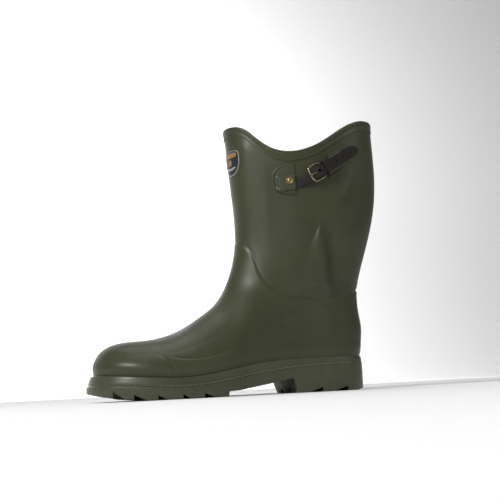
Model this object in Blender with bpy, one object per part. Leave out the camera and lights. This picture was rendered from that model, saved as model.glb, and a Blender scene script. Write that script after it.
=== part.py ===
"""A left rubber boot with a fleece lining, standing empty on its sole.

Toe towards -X, outer side towards -Y, up is +Z. Lengths below are in metres;
the tables are in millimetres and are stretched to the named sizes.
"""

import math

import bpy
import numpy as np

# Named sizes
SOLE_LENGTH = 0.312
BALL_WIDTH = 0.110
BOOT_HEIGHT = 0.306
HEEL_HEIGHT = 0.037
SHAFT_WIDTH = 0.098
WALL = 0.007
COLLAR_BAND = 0.008
COLLAR_THICKNESS = 0.0012
INSOLE_THICKNESS = 0.005
LUG_DEPTH = 0.005
STRAP_WIDTH = 0.012
STRAP_THICKNESS = 0.002
PATCH_THICKNESS = 0.0015
WIRE = 0.0022
RIVET_WIDTH = 0.008
GAP = 0.0003

MM = 1000.0
ALONG = SOLE_LENGTH / 0.312
ACROSS = BALL_WIDTH / 0.110
SHAFT_ACROSS = SHAFT_WIDTH / 0.098
UP = (BOOT_HEIGHT - HEEL_HEIGHT) / 0.269
SOLE_UP = HEEL_HEIGHT / 0.037
TOE_X = -146.2 * ALONG
HEEL_X = 155.5 * ALONG

# The sole's top line and the foot above it.
# Columns: x, height of the sole's top line, lateral edge, medial edge, ridge of
# the foot, rise of the foot above the sole's top line, roundness of the section.
FOOT_COLUMNS = ("x", "feather", "lateral", "medial", "ridge", "rise", "round")
FOOT = (
    (-150.0, 28.3, 53.0, 49.0, 8.0, 36.2, 2.4),
    (-110.0, 25.2, 53.0, 49.0, 6.5, 37.6, 2.4),
    (-75.0, 22.4, 53.0, 49.0, 5.0, 43.0, 2.3),
    (-45.0, 22.9, 52.6, 46.5, 4.0, 53.0, 2.1),
    (-20.0, 26.2, 50.0, 41.5, 3.0, 65.6, 2.0),
    (5.0, 30.8, 45.5, 35.5, 1.5, 94.0, 1.95),
    (30.0, 34.4, 40.5, 31.0, 0.5, 180.0, 1.9),
    (65.0, 36.7, 36.0, 30.5, 0.0, 300.0, 1.9),
    (105.0, 37.5, 34.8, 33.0, 0.0, 420.0, 1.9),
    (155.0, 37.0, 34.8, 33.5, 0.0, 560.0, 1.9),
)

# The shaft. Columns: level above the sole's top line at the heel, front and back
# of the shaft, half widths, reach of the rounding at the back.
SHAFT_COLUMNS = ("level", "front", "back", "lateral", "medial", "reach")
SHAFT = (
    (0.0, -150.0, 155.5, 35.0, 33.0, 50.0),
    (14.0, -110.0, 157.3, 36.0, 34.0, 50.0),
    (31.0, -62.0, 158.8, 37.0, 35.0, 51.0),
    (50.0, -25.5, 156.3, 38.0, 36.0, 54.0),
    (68.0, -5.8, 155.4, 39.0, 37.5, 60.0),
    (83.0, 3.4, 157.6, 40.5, 39.0, 68.0),
    (100.0, 10.4, 162.6, 42.5, 41.0, 76.0),
    (120.0, 15.6, 169.6, 44.5, 43.2, 82.0),
    (145.0, 17.6, 177.6, 46.8, 45.6, 85.0),
    (175.0, 16.4, 184.4, 48.4, 47.4, 86.5),
    (205.0, 14.0, 186.8, 49.0, 48.4, 88.0),
    (235.0, 12.0, 186.4, 49.0, 48.8, 89.0),
    (272.0, 9.5, 184.6, 49.0, 49.0, 90.0),
)

# The collar's top line. Columns: x, level below the boot's top.
COLLAR_COLUMNS = ("x", "below")
COLLAR = (
    (9.0, 6.3),
    (20.0, 10.2),
    (34.0, 24.3),
    (48.0, 37.2),
    (71.0, 43.8),
    (99.0, 36.6),
    (130.0, 17.6),
    (155.0, 4.0),
    (187.0, 0.0),
)

# How the rings of the skin climb from the sole to the collar. Columns: share of
# the rings, share of the front line, share of the back line, drop over the vamp.
RING_COLUMNS = ("share", "front", "back", "drop")
RINGS = (
    (0.0, 0.0, 0.0, 0.0),
    (0.1, 0.08, 0.045, 0.35),
    (0.3, 0.29, 0.155, 0.8),
    (0.5, 0.49, 0.285, 0.75),
    (0.62, 0.61, 0.39, 0.3),
    (0.75, 0.735, 0.56, 0.0),
    (1.0, 1.0, 1.0, 0.0),
)
RING_COUNT = 34
HALF_COUNT = 22

# The outsole. Columns: x, how far its side stands out from the upper, drop of the
# stitch line below the sole's top line.
EDGE_COLUMNS = ("x", "proud", "drop")
EDGE = (
    (-150.0, 7.6, 10.0),
    (-125.0, 5.0, 9.4),
    (-95.0, 4.2, 8.7),
    (-50.0, 4.2, 8.8),
    (0.0, 4.2, 9.8),
    (40.0, 4.0, 9.6),
    (75.0, 3.8, 8.2),
    (125.0, 3.4, 7.2),
    (155.0, 1.6, 6.5),
)

# The underside between the toe spring and the heel's back. Columns: x, level.
UNDERSIDE = (
    (-95.0, 0.0),
    (-14.6, 0.0),
    (-14.0, 5.2),
    (-2.0, 5.9),
    (21.0, 9.2),
    (45.0, 12.8),
    (62.3, 16.0),
    (68.2, 0.0),
    (141.0, 0.0),
    (155.5, 2.4),
)
TOE_SPRING = 12.0

# Notches between the lugs at the outer edge; the inner edge takes the same ones
# a little further back. Columns: x of the deep end, x where the slope runs out.
NOTCHES = (
    (-132.9, -120.9),
    (-113.1, -98.7),
    (-89.4, -77.6),
    (-63.9, -53.8),
    (-40.8, -27.6),
    (97.0, 79.0),
    (128.0, 107.0),
)
NOTCH_REACH = 25.0

# Where grooves cross the middle of the tread
CROSS_GROOVES = (-116.0, -93.0, -69.0, -46.0, -25.0, 90.0, 114.0)

# The strap fittings on the outer side, in the side view.
FRONT_PATCH_EDGE = (74.0, 233.5)
FRONT_PATCH_REACH = 26.0
FRONT_PATCH_HALF = 18.0
REAR_PATCH_EDGE = (113.8, 247.4)
REAR_PATCH_REACH = 40.0
REAR_PATCH_HALF = 13.4
RIVET_AT = (67.9, 231.2)
BAR_AT = (104.0, 243.0)
STRAP_SLOPE = math.radians(28.0)

# The long strap. Columns: x, z of its middle, height of its underside over the shaft.
STRAP_COLUMNS = ("x", "z", "height")
STRAP = (
    (61.0, 228.0, 0.3),
    (74.0, 229.2, 0.3),
    (81.0, 230.3, 1.0),
    (88.0, 233.4, 2.4),
    (95.0, 237.5, 4.4),
    (102.0, 241.6, 6.9),
    (110.0, 246.6, 7.1),
    (119.0, 252.0, 7.6),
    (129.0, 258.2, 8.6),
    (138.0, 263.6, 9.4),
    (145.5, 267.4, 10.0),
)
STRAP_POINT_X = 139.0

COLOURS = {
    "rubber_green": (0.075, 0.082, 0.042),
    "rubber_dark": (0.045, 0.05, 0.028),
    "fleece": (0.62, 0.55, 0.42),
    "leather_brown": (0.06, 0.04, 0.03),
    "brass": (0.65, 0.48, 0.2),
}


def spline(table, columns, name, at):
    """A column of a table as a natural cubic spline over its first column."""
    x = np.array([row[0] for row in table])
    y = np.array([row[columns.index(name)] for row in table])
    gap = np.diff(x)
    slope = np.diff(y) / gap
    system = np.eye(len(x))
    right = np.zeros(len(x))
    for i in range(1, len(x) - 1):
        system[i, i - 1 : i + 2] = gap[i - 1], 2 * (gap[i - 1] + gap[i]), gap[i]
        right[i] = 6 * (slope[i] - slope[i - 1])
    bend = np.linalg.solve(system, right)
    at = np.clip(at, x[0], x[-1])
    i = np.clip(np.searchsorted(x, at) - 1, 0, len(x) - 2)
    s = at - x[i]
    linear = slope[i] - gap[i] * (2 * bend[i] + bend[i + 1]) / 6
    cubic = (bend[i + 1] - bend[i]) / (6 * gap[i])
    return y[i] + s * linear + s**2 * bend[i] / 2 + s**3 * cubic


def rounded(share, power):
    """A superellipse's quarter: 0 at the edge, 1 once the share reaches 1."""
    share = np.clip(share, 0.0, 1.0)
    return (1 - (1 - share) ** power) ** (1 / power)


def eased(value, low, high):
    share = np.clip((value - low) / (high - low), 0.0, 1.0)
    return share**2 * (3 - 2 * share)


def foot(name, x):
    return spline(FOOT, FOOT_COLUMNS, name, x / ALONG)


def shaft(name, z):
    return spline(SHAFT, SHAFT_COLUMNS, name, (z - HEEL_HEIGHT * MM) / UP)


def feather(x):
    """Height of the sole's top line."""
    return foot("feather", x) * SOLE_UP


def collar(x):
    """Height of the collar's top line."""
    return BOOT_HEIGHT * MM - spline(COLLAR, COLLAR_COLUMNS, "below", x / ALONG) * UP


def rim_end(line):
    """The share of a front or back line that lies below the rim of the upper."""
    rim = collar(line[:, 0]) - (COLLAR_THICKNESS + 2 * GAP) * MM
    inside = line[:, 1] < rim
    return line[inside]


def front_line():
    """The side view's front: toe tip, top of the foot, front of the shaft."""
    turn = np.linspace(0.0, 1.0, 120)
    x = TOE_X + (-25.0 * ALONG - TOE_X) * turn**2
    rise = foot("rise", x) * UP * rounded((x - TOE_X) / (45.0 * ALONG), 2.5)
    low = np.stack([x, feather(x) + rise], 1)
    z = np.linspace(low[-1, 1] + 4.0 * UP, BOOT_HEIGHT * MM, 160)
    high = np.stack([shaft("front", z) * ALONG, z], 1)
    line = evenly(np.concatenate([low, high]), 500)
    smooth = line.copy()
    for _ in range(60):
        smooth[60:-1] = (smooth[59:-2] + 2 * smooth[60:-1] + smooth[61:]) / 4
    return rim_end(smooth)


def back_line():
    z = np.linspace(feather(HEEL_X), BOOT_HEIGHT * MM, 400)
    return rim_end(np.stack([shaft("back", z) * ALONG, z], 1))


def evenly(line, count, weight=None):
    """Points evenly spaced along a line, or packed by a weight."""
    step = np.linalg.norm(np.diff(line, axis=0), axis=1)
    if weight is not None:
        step = step * (weight[1:] + weight[:-1]) / 2
    done = np.concatenate([[0.0], np.cumsum(step)])
    at = np.linspace(0.0, done[-1], count)
    return np.stack([np.interp(at, done, line[:, i]) for i in range(line.shape[1])], 1)


def at_share(line, share):
    """The point at a share of a line's length, and its direction there."""
    even = evenly(line, 400)
    where = share * 399
    low = min(int(where), 398)
    point = even[low] + (even[low + 1] - even[low]) * (where - low)
    ahead = even[min(low + 4, 399)] - even[max(low - 4, 0)]
    return point, ahead / np.linalg.norm(ahead)


FRONT_LINE = front_line()
BACK_LINE = back_line()


def edges(x, z):
    """The outer and inner sides of the skin at a point of the side view."""
    reach = shaft("reach", z) * ALONG
    behind = rounded((shaft("back", z) * ALONG - x) / reach, 2.2)
    ridge = foot("ridge", x) * ACROSS
    rise = z - feather(x)
    crest = foot("rise", x) * UP * rounded((x - TOE_X) / (45.0 * ALONG), 2.5)
    up = np.clip(rise / np.maximum(crest, 1e-6), 0.0, 1.0)
    power = foot("round", x)
    over = (1 - up**power) ** (1 / power)
    over = over * (1 + 0.035 * np.sin(np.pi * np.clip(up / 0.6, 0.0, 1.0)))
    toe = rounded((x - TOE_X) / (85.0 * ALONG), 2.2)
    ahead = np.interp(z, FRONT_LINE[:, 1], FRONT_LINE[:, 0])
    leading = rounded((x - ahead) / (90.0 * ALONG), 2.1)
    high = eased(z - HEEL_HEIGHT * MM, 38.0 * UP, 95.0 * UP)
    sides = []
    for side, name in ((-1, "lateral"), (1, "medial")):
        low = (foot(name, x) * ACROSS - side * ridge) * toe * over
        tall = shaft(name, z) * SHAFT_ACROSS * leading
        sides.append(ridge + side * behind * ((1 - high) * low + high * tall))
    return sides


def ring(share):
    """One ring of the skin: the outer half and the inner half, front to back."""
    ahead = spline(RINGS, RING_COLUMNS, "front", share)
    behind = spline(RINGS, RING_COLUMNS, "back", share)
    drop = np.interp(share, [row[0] for row in RINGS], [row[3] for row in RINGS])
    (ax, az), going = at_share(FRONT_LINE, ahead)
    (bx, bz), _ = at_share(BACK_LINE, behind)
    start = np.array([ax, az - feather(ax)])
    end = np.array([bx, bz - feather(bx)])
    bent = min(drop / 0.7, 1.0)
    inward = start + np.array([going[1], -going[0]]) * start[1] * drop
    first = (1 - bent) * (start * 2 + end) / 3 + bent * inward
    level = end - np.array([0.43 * (bx - ax), 0.0])
    second = (1 - bent) * (start + end * 2) / 3 + bent * level
    t = (1 - np.cos(np.linspace(0.0, np.pi, 260))) / 2
    keys = np.array([start, first, second, end])
    bend = np.stack([(1 - t) ** 3, 3 * t * (1 - t) ** 2, 3 * t**2 * (1 - t), t**3])
    x, rise = (bend[:, :, None] * keys[:, None, :]).sum(0).T
    z = rise + feather(x)
    rim = collar(x) - (COLLAR_THICKNESS + 2 * GAP) * MM
    ends = rim[0] + (rim[-1] - rim[0]) * (x - x[0]) / (x[-1] - x[0])
    z = z + (rim - ends) * eased(share, 0.66, 1.0) ** 1.3
    halves = []
    for y in edges(x, z):
        y[0] = foot("ridge", x[0]) * ACROSS
        y[-1] = foot("ridge", x[-1]) * ACROSS
        line = np.stack([x, y, z], 1)
        step = np.linalg.norm(np.diff(line, axis=0), axis=1)
        done = np.concatenate([[0.0], np.cumsum(step)])
        weight = 1 + 2.2 * np.exp(-done / 45.0) + 1.2 * np.exp((done - done[-1]) / 30.0)
        halves.append(evenly(line, HALF_COUNT + 1, weight))
    return halves


def skin():
    """Rings of points over the whole outside, sole to collar."""
    rings = []
    for i in range(RING_COUNT + 1):
        outer, inner = ring(i / RING_COUNT)
        rings.append(np.concatenate([outer, inner[-2:0:-1]]))
    return np.array(rings)


def grid_normals(rings):
    """Outward normals of a skin whose rings run front, outer side, back, inner side."""
    around = np.roll(rings, -1, 1) - np.roll(rings, 1, 1)
    upward = np.gradient(rings, axis=0)
    normal = np.cross(around, upward)
    return normal / np.linalg.norm(normal, axis=2, keepdims=True)


def mesh_object(name, colour, points, faces):
    """A closed solid from points in millimetres; points at one place become one."""
    points = np.asarray(points, float)
    spots = np.round(points, 4)
    _, first, index = np.unique(spots, axis=0, return_index=True, return_inverse=True)
    index = index.reshape(-1)
    clean = []
    for face in faces:
        ids = []
        for corner in face:
            if index[corner] not in ids:
                ids.append(int(index[corner]))
        if len(ids) > 2:
            clean.append(ids)
    mesh = bpy.data.meshes.new(name)
    mesh.from_pydata([tuple(p) for p in points[first] / MM], [], clean)
    mesh.update()
    obj = bpy.data.objects.new(name, mesh)
    bpy.context.scene.collection.objects.link(obj)
    if colour:
        mesh.materials.append(material(name, colour))
    outward(obj)
    return obj


def outward(obj):
    """Turn every face outward."""
    bpy.ops.object.select_all(action="DESELECT")
    obj.select_set(True)
    bpy.context.view_layer.objects.active = obj
    bpy.ops.object.mode_set(mode="EDIT")
    bpy.ops.mesh.select_all(action="SELECT")
    bpy.ops.mesh.normals_make_consistent(inside=False)
    bpy.ops.object.mode_set(mode="OBJECT")


def material(name, colour):
    made = bpy.data.materials.new(name + "_" + colour)
    made.use_nodes = True
    shader = made.node_tree.nodes["Principled BSDF"]
    shader.inputs["Base Color"].default_value = (*COLOURS[colour], 1.0)
    shader.inputs["Roughness"].default_value = 0.9 if colour == "fleece" else 0.4
    shader.inputs["Metallic"].default_value = 1.0 if colour == "brass" else 0.0
    return made


def tube_faces(rows, columns, start=0):
    """Quads between rows of points that each close on themselves."""
    faces = []
    for i in range(rows - 1):
        for j in range(columns):
            k = (j + 1) % columns
            a = start + i * columns
            b = a + columns
            faces.append((a + j, a + k, b + k, b + j))
    return faces


def closed_tube(name, colour, loops):
    """A solid from loops whose last one joins the first: a ring with any section."""
    loops = np.asarray(loops)
    rows, columns = loops.shape[:2]
    faces = tube_faces(rows, columns)
    last = (rows - 1) * columns
    for j in range(columns):
        k = (j + 1) % columns
        faces.append((last + j, last + k, k, j))
    return mesh_object(name, colour, loops.reshape(-1, 3), faces)


def capped_tube(name, colour, loops):
    """A solid from loops with a flat face at each end."""
    loops = np.asarray(loops)
    rows, columns = loops.shape[:2]
    faces = tube_faces(rows, columns)
    faces.append(tuple(range(columns)))
    faces.append(tuple(range((rows - 1) * columns, rows * columns)))
    return mesh_object(name, colour, loops.reshape(-1, 3), faces)


def slab(name, colour, top, bottom):
    """A solid between two grids of points with the same rows and columns."""
    top = np.asarray(top)
    bottom = np.asarray(bottom)
    rows, columns = top.shape[:2]
    points = np.concatenate([top.reshape(-1, 3), bottom.reshape(-1, 3)])
    half = rows * columns
    faces = []
    for i in range(rows - 1):
        for j in range(columns - 1):
            a = i * columns + j
            quad = (a, a + 1, a + columns + 1, a + columns)
            faces.append(quad)
            faces.append(tuple(p + half for p in quad))
    rim = [(i, 0) for i in range(rows)] + [(rows - 1, j) for j in range(1, columns)]
    rim += [(i, columns - 1) for i in range(rows - 2, -1, -1)]
    rim += [(0, j) for j in range(columns - 2, 0, -1)]
    for (i, j), (k, m) in zip(rim, rim[1:] + rim[:1]):
        a = i * columns + j
        b = k * columns + m
        faces.append((a, b, b + half, a + half))
    return mesh_object(name, colour, points, faces)


def boolean(obj, cutter, operation):
    tool = obj.modifiers.new("cut", "BOOLEAN")
    tool.operation = operation
    tool.solver = "EXACT"
    tool.object = cutter
    bpy.ops.object.select_all(action="DESELECT")
    obj.select_set(True)
    bpy.context.view_layer.objects.active = obj
    bpy.ops.object.modifier_apply(modifier=tool.name)
    bpy.data.objects.remove(cutter, do_unlink=True)


# Upper
def build_upper(outside, normals):
    inside = outside - normals * WALL * MM
    inside[0, :, 2] = feather(inside[0, :, 0])
    rings = np.concatenate([outside, inside[::-1]])
    closed_tube("upper", "rubber_green", rings)
    return inside


def build_insole(inside):
    """A fleece-topped bed inside the foot, standing a little off the wall."""
    half = HALF_COUNT
    rows = []
    for rise, gap in ((0.2, 0.4), (INSOLE_THICKNESS * MM, 1.3)):
        loop = inside[0].copy()
        ahead = np.roll(loop, -1, 0) - np.roll(loop, 1, 0)
        out = np.stack([ahead[:, 1], -ahead[:, 0]], 1)
        out /= np.linalg.norm(out, axis=1, keepdims=True)
        loop[:, :2] -= out * gap
        loop[:, 2] = feather(loop[:, 0]) + rise
        rows.append(loop)
    points = np.concatenate(rows)
    count = 2 * half
    faces = tube_faces(2, count)
    for base in (0, count):
        for j in range(half):
            other = (count - j) % count
            faces.append((base + j, base + j + 1, base + count - j - 1, base + other))
    return mesh_object("insole", "fleece", points, faces)


def build_collar(outside, inside, normals):
    """A band folded over the top edge of the wall."""
    gap = GAP * MM
    thick = COLLAR_THICKNESS * MM
    deep = COLLAR_BAND * MM
    over = gap + thick
    top = over + 0.3
    outer_leg = (
        (gap + 0.1, -deep),
        (gap + thick * 0.7, -deep),
        (over, -deep + 0.8),
        (over, top - 0.9),
        (over - 0.9, top),
    )
    inner_leg = (
        (over - 0.9, top),
        (over, top - 0.9),
        (over, -deep),
        (gap + 0.2, -deep),
        (gap + 0.2, gap + 0.3),
    )
    loops = []
    for face, side, leg in ((outside, 1, outer_leg), (inside, -1, inner_leg)):
        down = face[-3] - face[-1]
        down /= np.linalg.norm(down, axis=1, keepdims=True)
        loops += [face[-1] + side * normals[-1] * out - down * up for out, up in leg]
    down = outside[-3] - outside[-1]
    down /= np.linalg.norm(down, axis=1, keepdims=True)
    loops.append(outside[-1] + normals[-1] * gap - down * (gap + 0.3))
    return closed_tube("collar_binding", "rubber_green", loops)


# Sole
def underside(x):
    """Level of the bottom of the tread."""
    at = x / ALONG
    level = np.interp(at, [row[0] for row in UNDERSIDE], [row[1] for row in UNDERSIDE])
    spring = np.clip((-95.0 - at) / 61.0, 0.0, 1.2)
    return (level + TOE_SPRING * spring**1.6) * SOLE_UP


def sole_stations():
    turn = (1 - np.cos(np.linspace(0.0, np.pi / 2, 10))) * 46.0 * ALONG
    toe = TOE_X + turn
    heel = HEEL_X - turn[::-1] * 0.45
    middle = [-88.0, -75.0, -62.0, -50.0, -38.0, -26.0, -14.6, -14.0, -2.0, 9.0, 21.0, 33.0]
    middle += [45.0, 54.0, 62.3, 68.2, 78.0, 90.0, 102.0, 114.0, 125.0]
    middle = np.array([x * ALONG for x in middle])
    middle = middle[(middle > toe[-1] + 2) & (middle < heel[0] - 2)]
    return np.concatenate([toe, middle, heel])


def sole_edge(x):
    """The sole's top edge and its proud side in plan, for the outer and inner sides."""
    both = []
    for y, side in zip(edges(x, feather(x) + 1e-6), (-1, 1)):
        y[0] = foot("ridge", x[0]) * ACROSS
        y[-1] = foot("ridge", x[-1]) * ACROSS
        out = np.stack([-side * np.gradient(y), side * np.gradient(x)], 1)
        out /= np.linalg.norm(out, axis=1, keepdims=True)
        out[0] = (-1.0, 0.0)
        out[-1] = (1.0, 0.0)
        proud = spline(EDGE, EDGE_COLUMNS, "proud", x / ALONG) * ALONG
        edge = np.stack([x, y], 1)
        both.append((edge, edge + out * proud[:, None]))
    return both


def build_outsole():
    x = sole_stations()
    (lat_top, lat_wide), (med_top, med_wide) = sole_edge(x)
    drop = spline(EDGE, EDGE_COLUMNS, "drop", x / ALONG) * SOLE_UP
    top = feather(x) - GAP * MM * 1.4
    ledge = top - drop
    low = underside(x)
    loops = []
    for plan, level in (
        (lat_top, top),
        (lat_wide, ledge),
        (lat_wide, ledge - 1.0),
        (lat_wide, low),
        (med_wide, low),
        (med_wide, ledge - 1.0),
        (med_wide, ledge),
        (med_top, top),
    ):
        loops.append(np.column_stack([plan, level]))
    sections = np.stack(loops, 1)
    rows, columns = sections.shape[:2]
    faces = tube_faces(rows, columns)
    sole = mesh_object("outsole", "rubber_dark", sections.reshape(-1, 3), faces)
    for cutter in tread_cutters(lat_wide, med_wide):
        boolean(sole, cutter, "DIFFERENCE")
    outward(sole)
    return sole


def hidden(cutter):
    cutter.hide_render = True
    cutter.display_type = "WIRE"
    return cutter


def prisms(name, shapes):
    """One cutter from several prisms, each a ring of low points and one of high points."""
    points = []
    faces = []
    for low, high in shapes:
        base = len(points)
        count = len(low)
        points += list(low) + list(high)
        faces.append(tuple(base + i for i in range(count)))
        faces.append(tuple(base + count + i for i in range(count)))
        for i in range(count):
            j = (i + 1) % count
            faces.append((base + i, base + j, base + count + j, base + count + i))
    return hidden(mesh_object(name, None, points, faces))


def upright(loop, top):
    """A prism from below the tread up to a level that may differ by corner."""
    return [(x, y, -4.0) for x, y in loop], [(x, y, z) for (x, y), z in zip(loop, top)]


def tread_cutters(lateral, medial):
    deep = LUG_DEPTH * MM
    notches = []
    for side, plan, shift in ((-1, lateral, 0.0), (1, medial, 3.0)):
        for steep, runs_out in NOTCHES:
            a = (steep + shift) * ALONG
            b = (runs_out + shift) * ALONG
            outer = np.interp((a + b) / 2, plan[:, 0], plan[:, 1]) + side * 12.0
            inner = outer - side * (12.0 + NOTCH_REACH * ACROSS)
            top_a = float(underside(np.array(a))) + deep
            top_b = float(underside(np.array(b))) - 0.4
            loop = ((a, outer), (b, outer), (b, inner), (a, inner))
            notches.append(upright(loop, (top_a, top_b, top_b, top_a)))
    yield prisms("notch_cutter", notches)

    middles = []
    for side, plan in ((-1, lateral), (1, medial)):
        x = np.linspace(-121.0, -9.0, 15) * ALONG
        y = np.interp(x, plan[:, 0], plan[:, 1]) - side * (NOTCH_REACH + 1.0) * ACROSS
        middles.append((x, y))
        top = underside(np.minimum(x, -14.6 * ALONG)) + deep - 0.7
        high = np.stack([np.stack([x, y - 2.0, top], 1), np.stack([x, y + 2.0, top], 1)], 1)
        low = high.copy()
        low[:, :, 2] = -4.0
        yield hidden(slab("channel_cutter", None, high, low))
    channels = []
    for side in (-1, 1):
        y = side * 13.0 * ACROSS
        start, end = 58.0 * ALONG, 134.0 * ALONG
        loop = ((start, y - 2.0), (end, y - 2.0), (end, y + 2.0), (start, y + 2.0))
        channels.append(upright(loop, [deep - 0.7] * 4))
    yield prisms("heel_channel_cutter", channels)

    grooves = []
    for x in CROSS_GROOVES:
        x = x * ALONG
        top = float(underside(np.array(x))) + deep - 1.4
        ends = [float(np.interp(x, *middle)) for middle in middles]
        if x > 0:
            ends = [-13.0 * ACROSS, 13.0 * ACROSS]
        loop = ((x - 2.5, ends[0]), (x + 2.5, ends[0]), (x + 2.5, ends[1]), (x - 2.5, ends[1]))
        grooves.append(upright(loop, [top] * 4))
    yield prisms("cross_groove_cutter", grooves)


# Strap fittings
def on_shaft(x, z, height):
    """Points at a height over the outer side of the shaft."""
    x = np.asarray(x, float) * ALONG
    z = HEEL_HEIGHT * MM + (np.asarray(z, float) - 37.0) * UP
    y = edges(x, z)[0]
    step = 0.5
    slope_x = (edges(x + step, z)[0] - edges(x - step, z)[0]) / (2 * step)
    slope_z = (edges(x, z + step)[0] - edges(x, z - step)[0]) / (2 * step)
    normal = np.stack([slope_x, -np.ones_like(y), slope_z], -1)
    normal /= np.linalg.norm(normal, axis=-1, keepdims=True)
    return np.stack([x, y, z], -1) + normal * np.asarray(height, float)[..., None]


def along_strap(s, w):
    """Side-view place of a point s along the strap's slope and w across it, from the bar."""
    x = BAR_AT[0] + s * math.cos(STRAP_SLOPE) - w * math.sin(STRAP_SLOPE)
    z = BAR_AT[1] + s * math.sin(STRAP_SLOPE) + w * math.cos(STRAP_SLOPE)
    return x, z


def strap_line(x):
    return spline(STRAP, STRAP_COLUMNS, "z", x), spline(STRAP, STRAP_COLUMNS, "height", x)


def front_lift(x, z):
    """How far the long strap under it lifts the front patch."""
    middle, _ = strap_line(x)
    half = STRAP_WIDTH * MM / 2
    beside = 1 - eased(np.abs(z - middle), half + 0.6, half + 3.4)
    return (STRAP_THICKNESS * MM + 0.5) * beside * eased(x, 53.5, 58.0)


def rear_lift(x, z):
    s = (x - BAR_AT[0]) * math.cos(STRAP_SLOPE) + (z - BAR_AT[1]) * math.sin(STRAP_SLOPE)
    w = (z - BAR_AT[1]) * math.cos(STRAP_SLOPE) - (x - BAR_AT[0]) * math.sin(STRAP_SLOPE)
    half = STRAP_WIDTH * MM / 2
    beside = 1 - eased(np.abs(w), half + 0.6, half + 3.4)
    return (STRAP_THICKNESS * MM + 0.5) * beside * (1 - eased(s, 30.0, 35.0))


def patch_grid(edge, reach, half, power, rise):
    """Side-view places over a D-shaped patch whose flat side stands at the edge."""
    turn = np.linspace(0.0, np.pi / 2, 11)
    share = np.sin(turn)
    x = edge[0] + reach * share
    tall = half * (1 - share**power) ** (1 / power)
    tall[-1] = 0.0
    up = np.linspace(-1.0, 1.0, 17)
    grid_x = np.repeat(x[:, None], len(up), 1)
    grid_z = edge[1] + (grid_x - edge[0]) * rise + tall[:, None] * up[None, :]
    return grid_x, grid_z


def build_patches():
    gap = GAP * MM
    thick = PATCH_THICKNESS * MM
    for name, edge, reach, half, rise, lift in (
        ("front_patch", FRONT_PATCH_EDGE, -FRONT_PATCH_REACH, FRONT_PATCH_HALF, 0.0, front_lift),
        ("rear_patch", REAR_PATCH_EDGE, REAR_PATCH_REACH, REAR_PATCH_HALF, 0.53, rear_lift),
    ):
        x, z = patch_grid(edge, reach, half, 2.4, rise)
        under = gap + lift(x, z)
        slab(name, "rubber_green", on_shaft(x, z, under + thick), on_shaft(x, z, under))


def slot_cutter(name, span, half, base):
    """A cutter for a slot that the prong passes, along the strap's slope."""
    s = np.array([span[0], span[1], span[1], span[0]])
    w = np.array([-half, -half, half, half])
    x, z = along_strap(s, w)
    low, high = (on_shaft(x, z, np.full(4, height)) for height in (base, 12.0))
    return prisms(name, [([tuple(p) for p in low], [tuple(p) for p in high])])


def build_strap():
    under = np.linspace(STRAP[0][0], BAR_AT[0], 18)
    free = np.linspace(BAR_AT[0] + 4.0, STRAP_POINT_X, 7)
    tip = np.linspace(STRAP_POINT_X + 2.5, STRAP[-1][0], 3)
    x = np.concatenate([under, free, tip])
    z, height = strap_line(x)
    run = np.stack([np.gradient(x), np.gradient(z)], 1)
    run /= np.linalg.norm(run, axis=1, keepdims=True)
    point = np.clip((x - STRAP_POINT_X) / (x[-1] - STRAP_POINT_X), 0.0, 1.0)
    half = STRAP_WIDTH * MM / 2 * (1 - 0.82 * point**1.3)
    across = np.linspace(-1.0, 1.0, 5)
    gx = x[:, None] - run[:, 1:2] * half[:, None] * across
    gz = z[:, None] + run[:, 0:1] * half[:, None] * across
    low = np.repeat(height[:, None], 5, 1)
    thick = STRAP_THICKNESS * MM
    strap = slab("buckle_strap", "leather_brown", on_shaft(gx, gz, low + thick), on_shaft(gx, gz, low))
    boolean(strap, slot_cutter("prong_hole_cutter", (-12.5, -3.0), 1.3, 0.5), "DIFFERENCE")
    outward(strap)


def build_chape():
    """The short strap: folded round the buckle's bar and run under the rear patch."""
    half = (STRAP_WIDTH * MM - 0.6) / 2
    thick = 1.8
    low = GAP * MM
    bar = low + thick + 0.3 + WIRE * MM / 2
    inner = WIRE * MM / 2 + 0.3
    outer = inner + thick
    turn = np.linspace(-np.pi / 2, np.pi / 2, 9)
    loop = [(26.5, bar - outer), (18.0, bar - outer), (9.0, bar - outer)]
    loop += [(-outer * math.cos(a), bar + outer * math.sin(a)) for a in turn]
    loop += [(8.0, bar + outer), (8.0, bar + inner)]
    loop += [(-inner * math.cos(a), bar + inner * math.sin(a)) for a in turn[::-1]]
    loop += [(9.0, bar - inner), (18.0, bar - inner), (26.5, bar - inner)]
    s = np.array([p[0] for p in loop])
    height = np.array([p[1] for p in loop])
    rows = []
    for w in np.linspace(-half, half, 3):
        x, z = along_strap(s, w)
        rows.append(on_shaft(x, z, height))
    chape = capped_tube("buckle_chape", "leather_brown", rows)
    boolean(chape, slot_cutter("chape_slot_cutter", (-6.0, 2.2), 1.7, 1.9), "DIFFERENCE")
    outward(chape)
    return bar


def wire(name, colour, s, w, height, radius, closed):
    """A round wire along a line of places over the strap."""
    x, z = along_strap(np.asarray(s), np.asarray(w))
    line = on_shaft(x, z, np.asarray(height, float))
    ahead = np.roll(line, -1, 0) - np.roll(line, 1, 0) if closed else np.gradient(line, axis=0)
    ahead /= np.linalg.norm(ahead, axis=1, keepdims=True)
    up = np.array([0.0, -1.0, 0.0])
    side = np.cross(ahead, up)
    side /= np.linalg.norm(side, axis=1, keepdims=True)
    over = np.cross(side, ahead)
    turn = np.linspace(0.0, 2 * np.pi, 9)[:-1]
    loops = [line + radius * (math.cos(a) * side + math.sin(a) * over) for a in turn]
    loops = np.stack(loops, 1)
    if closed:
        return closed_tube(name, colour, loops)
    return capped_tube(name, colour, loops)


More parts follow.
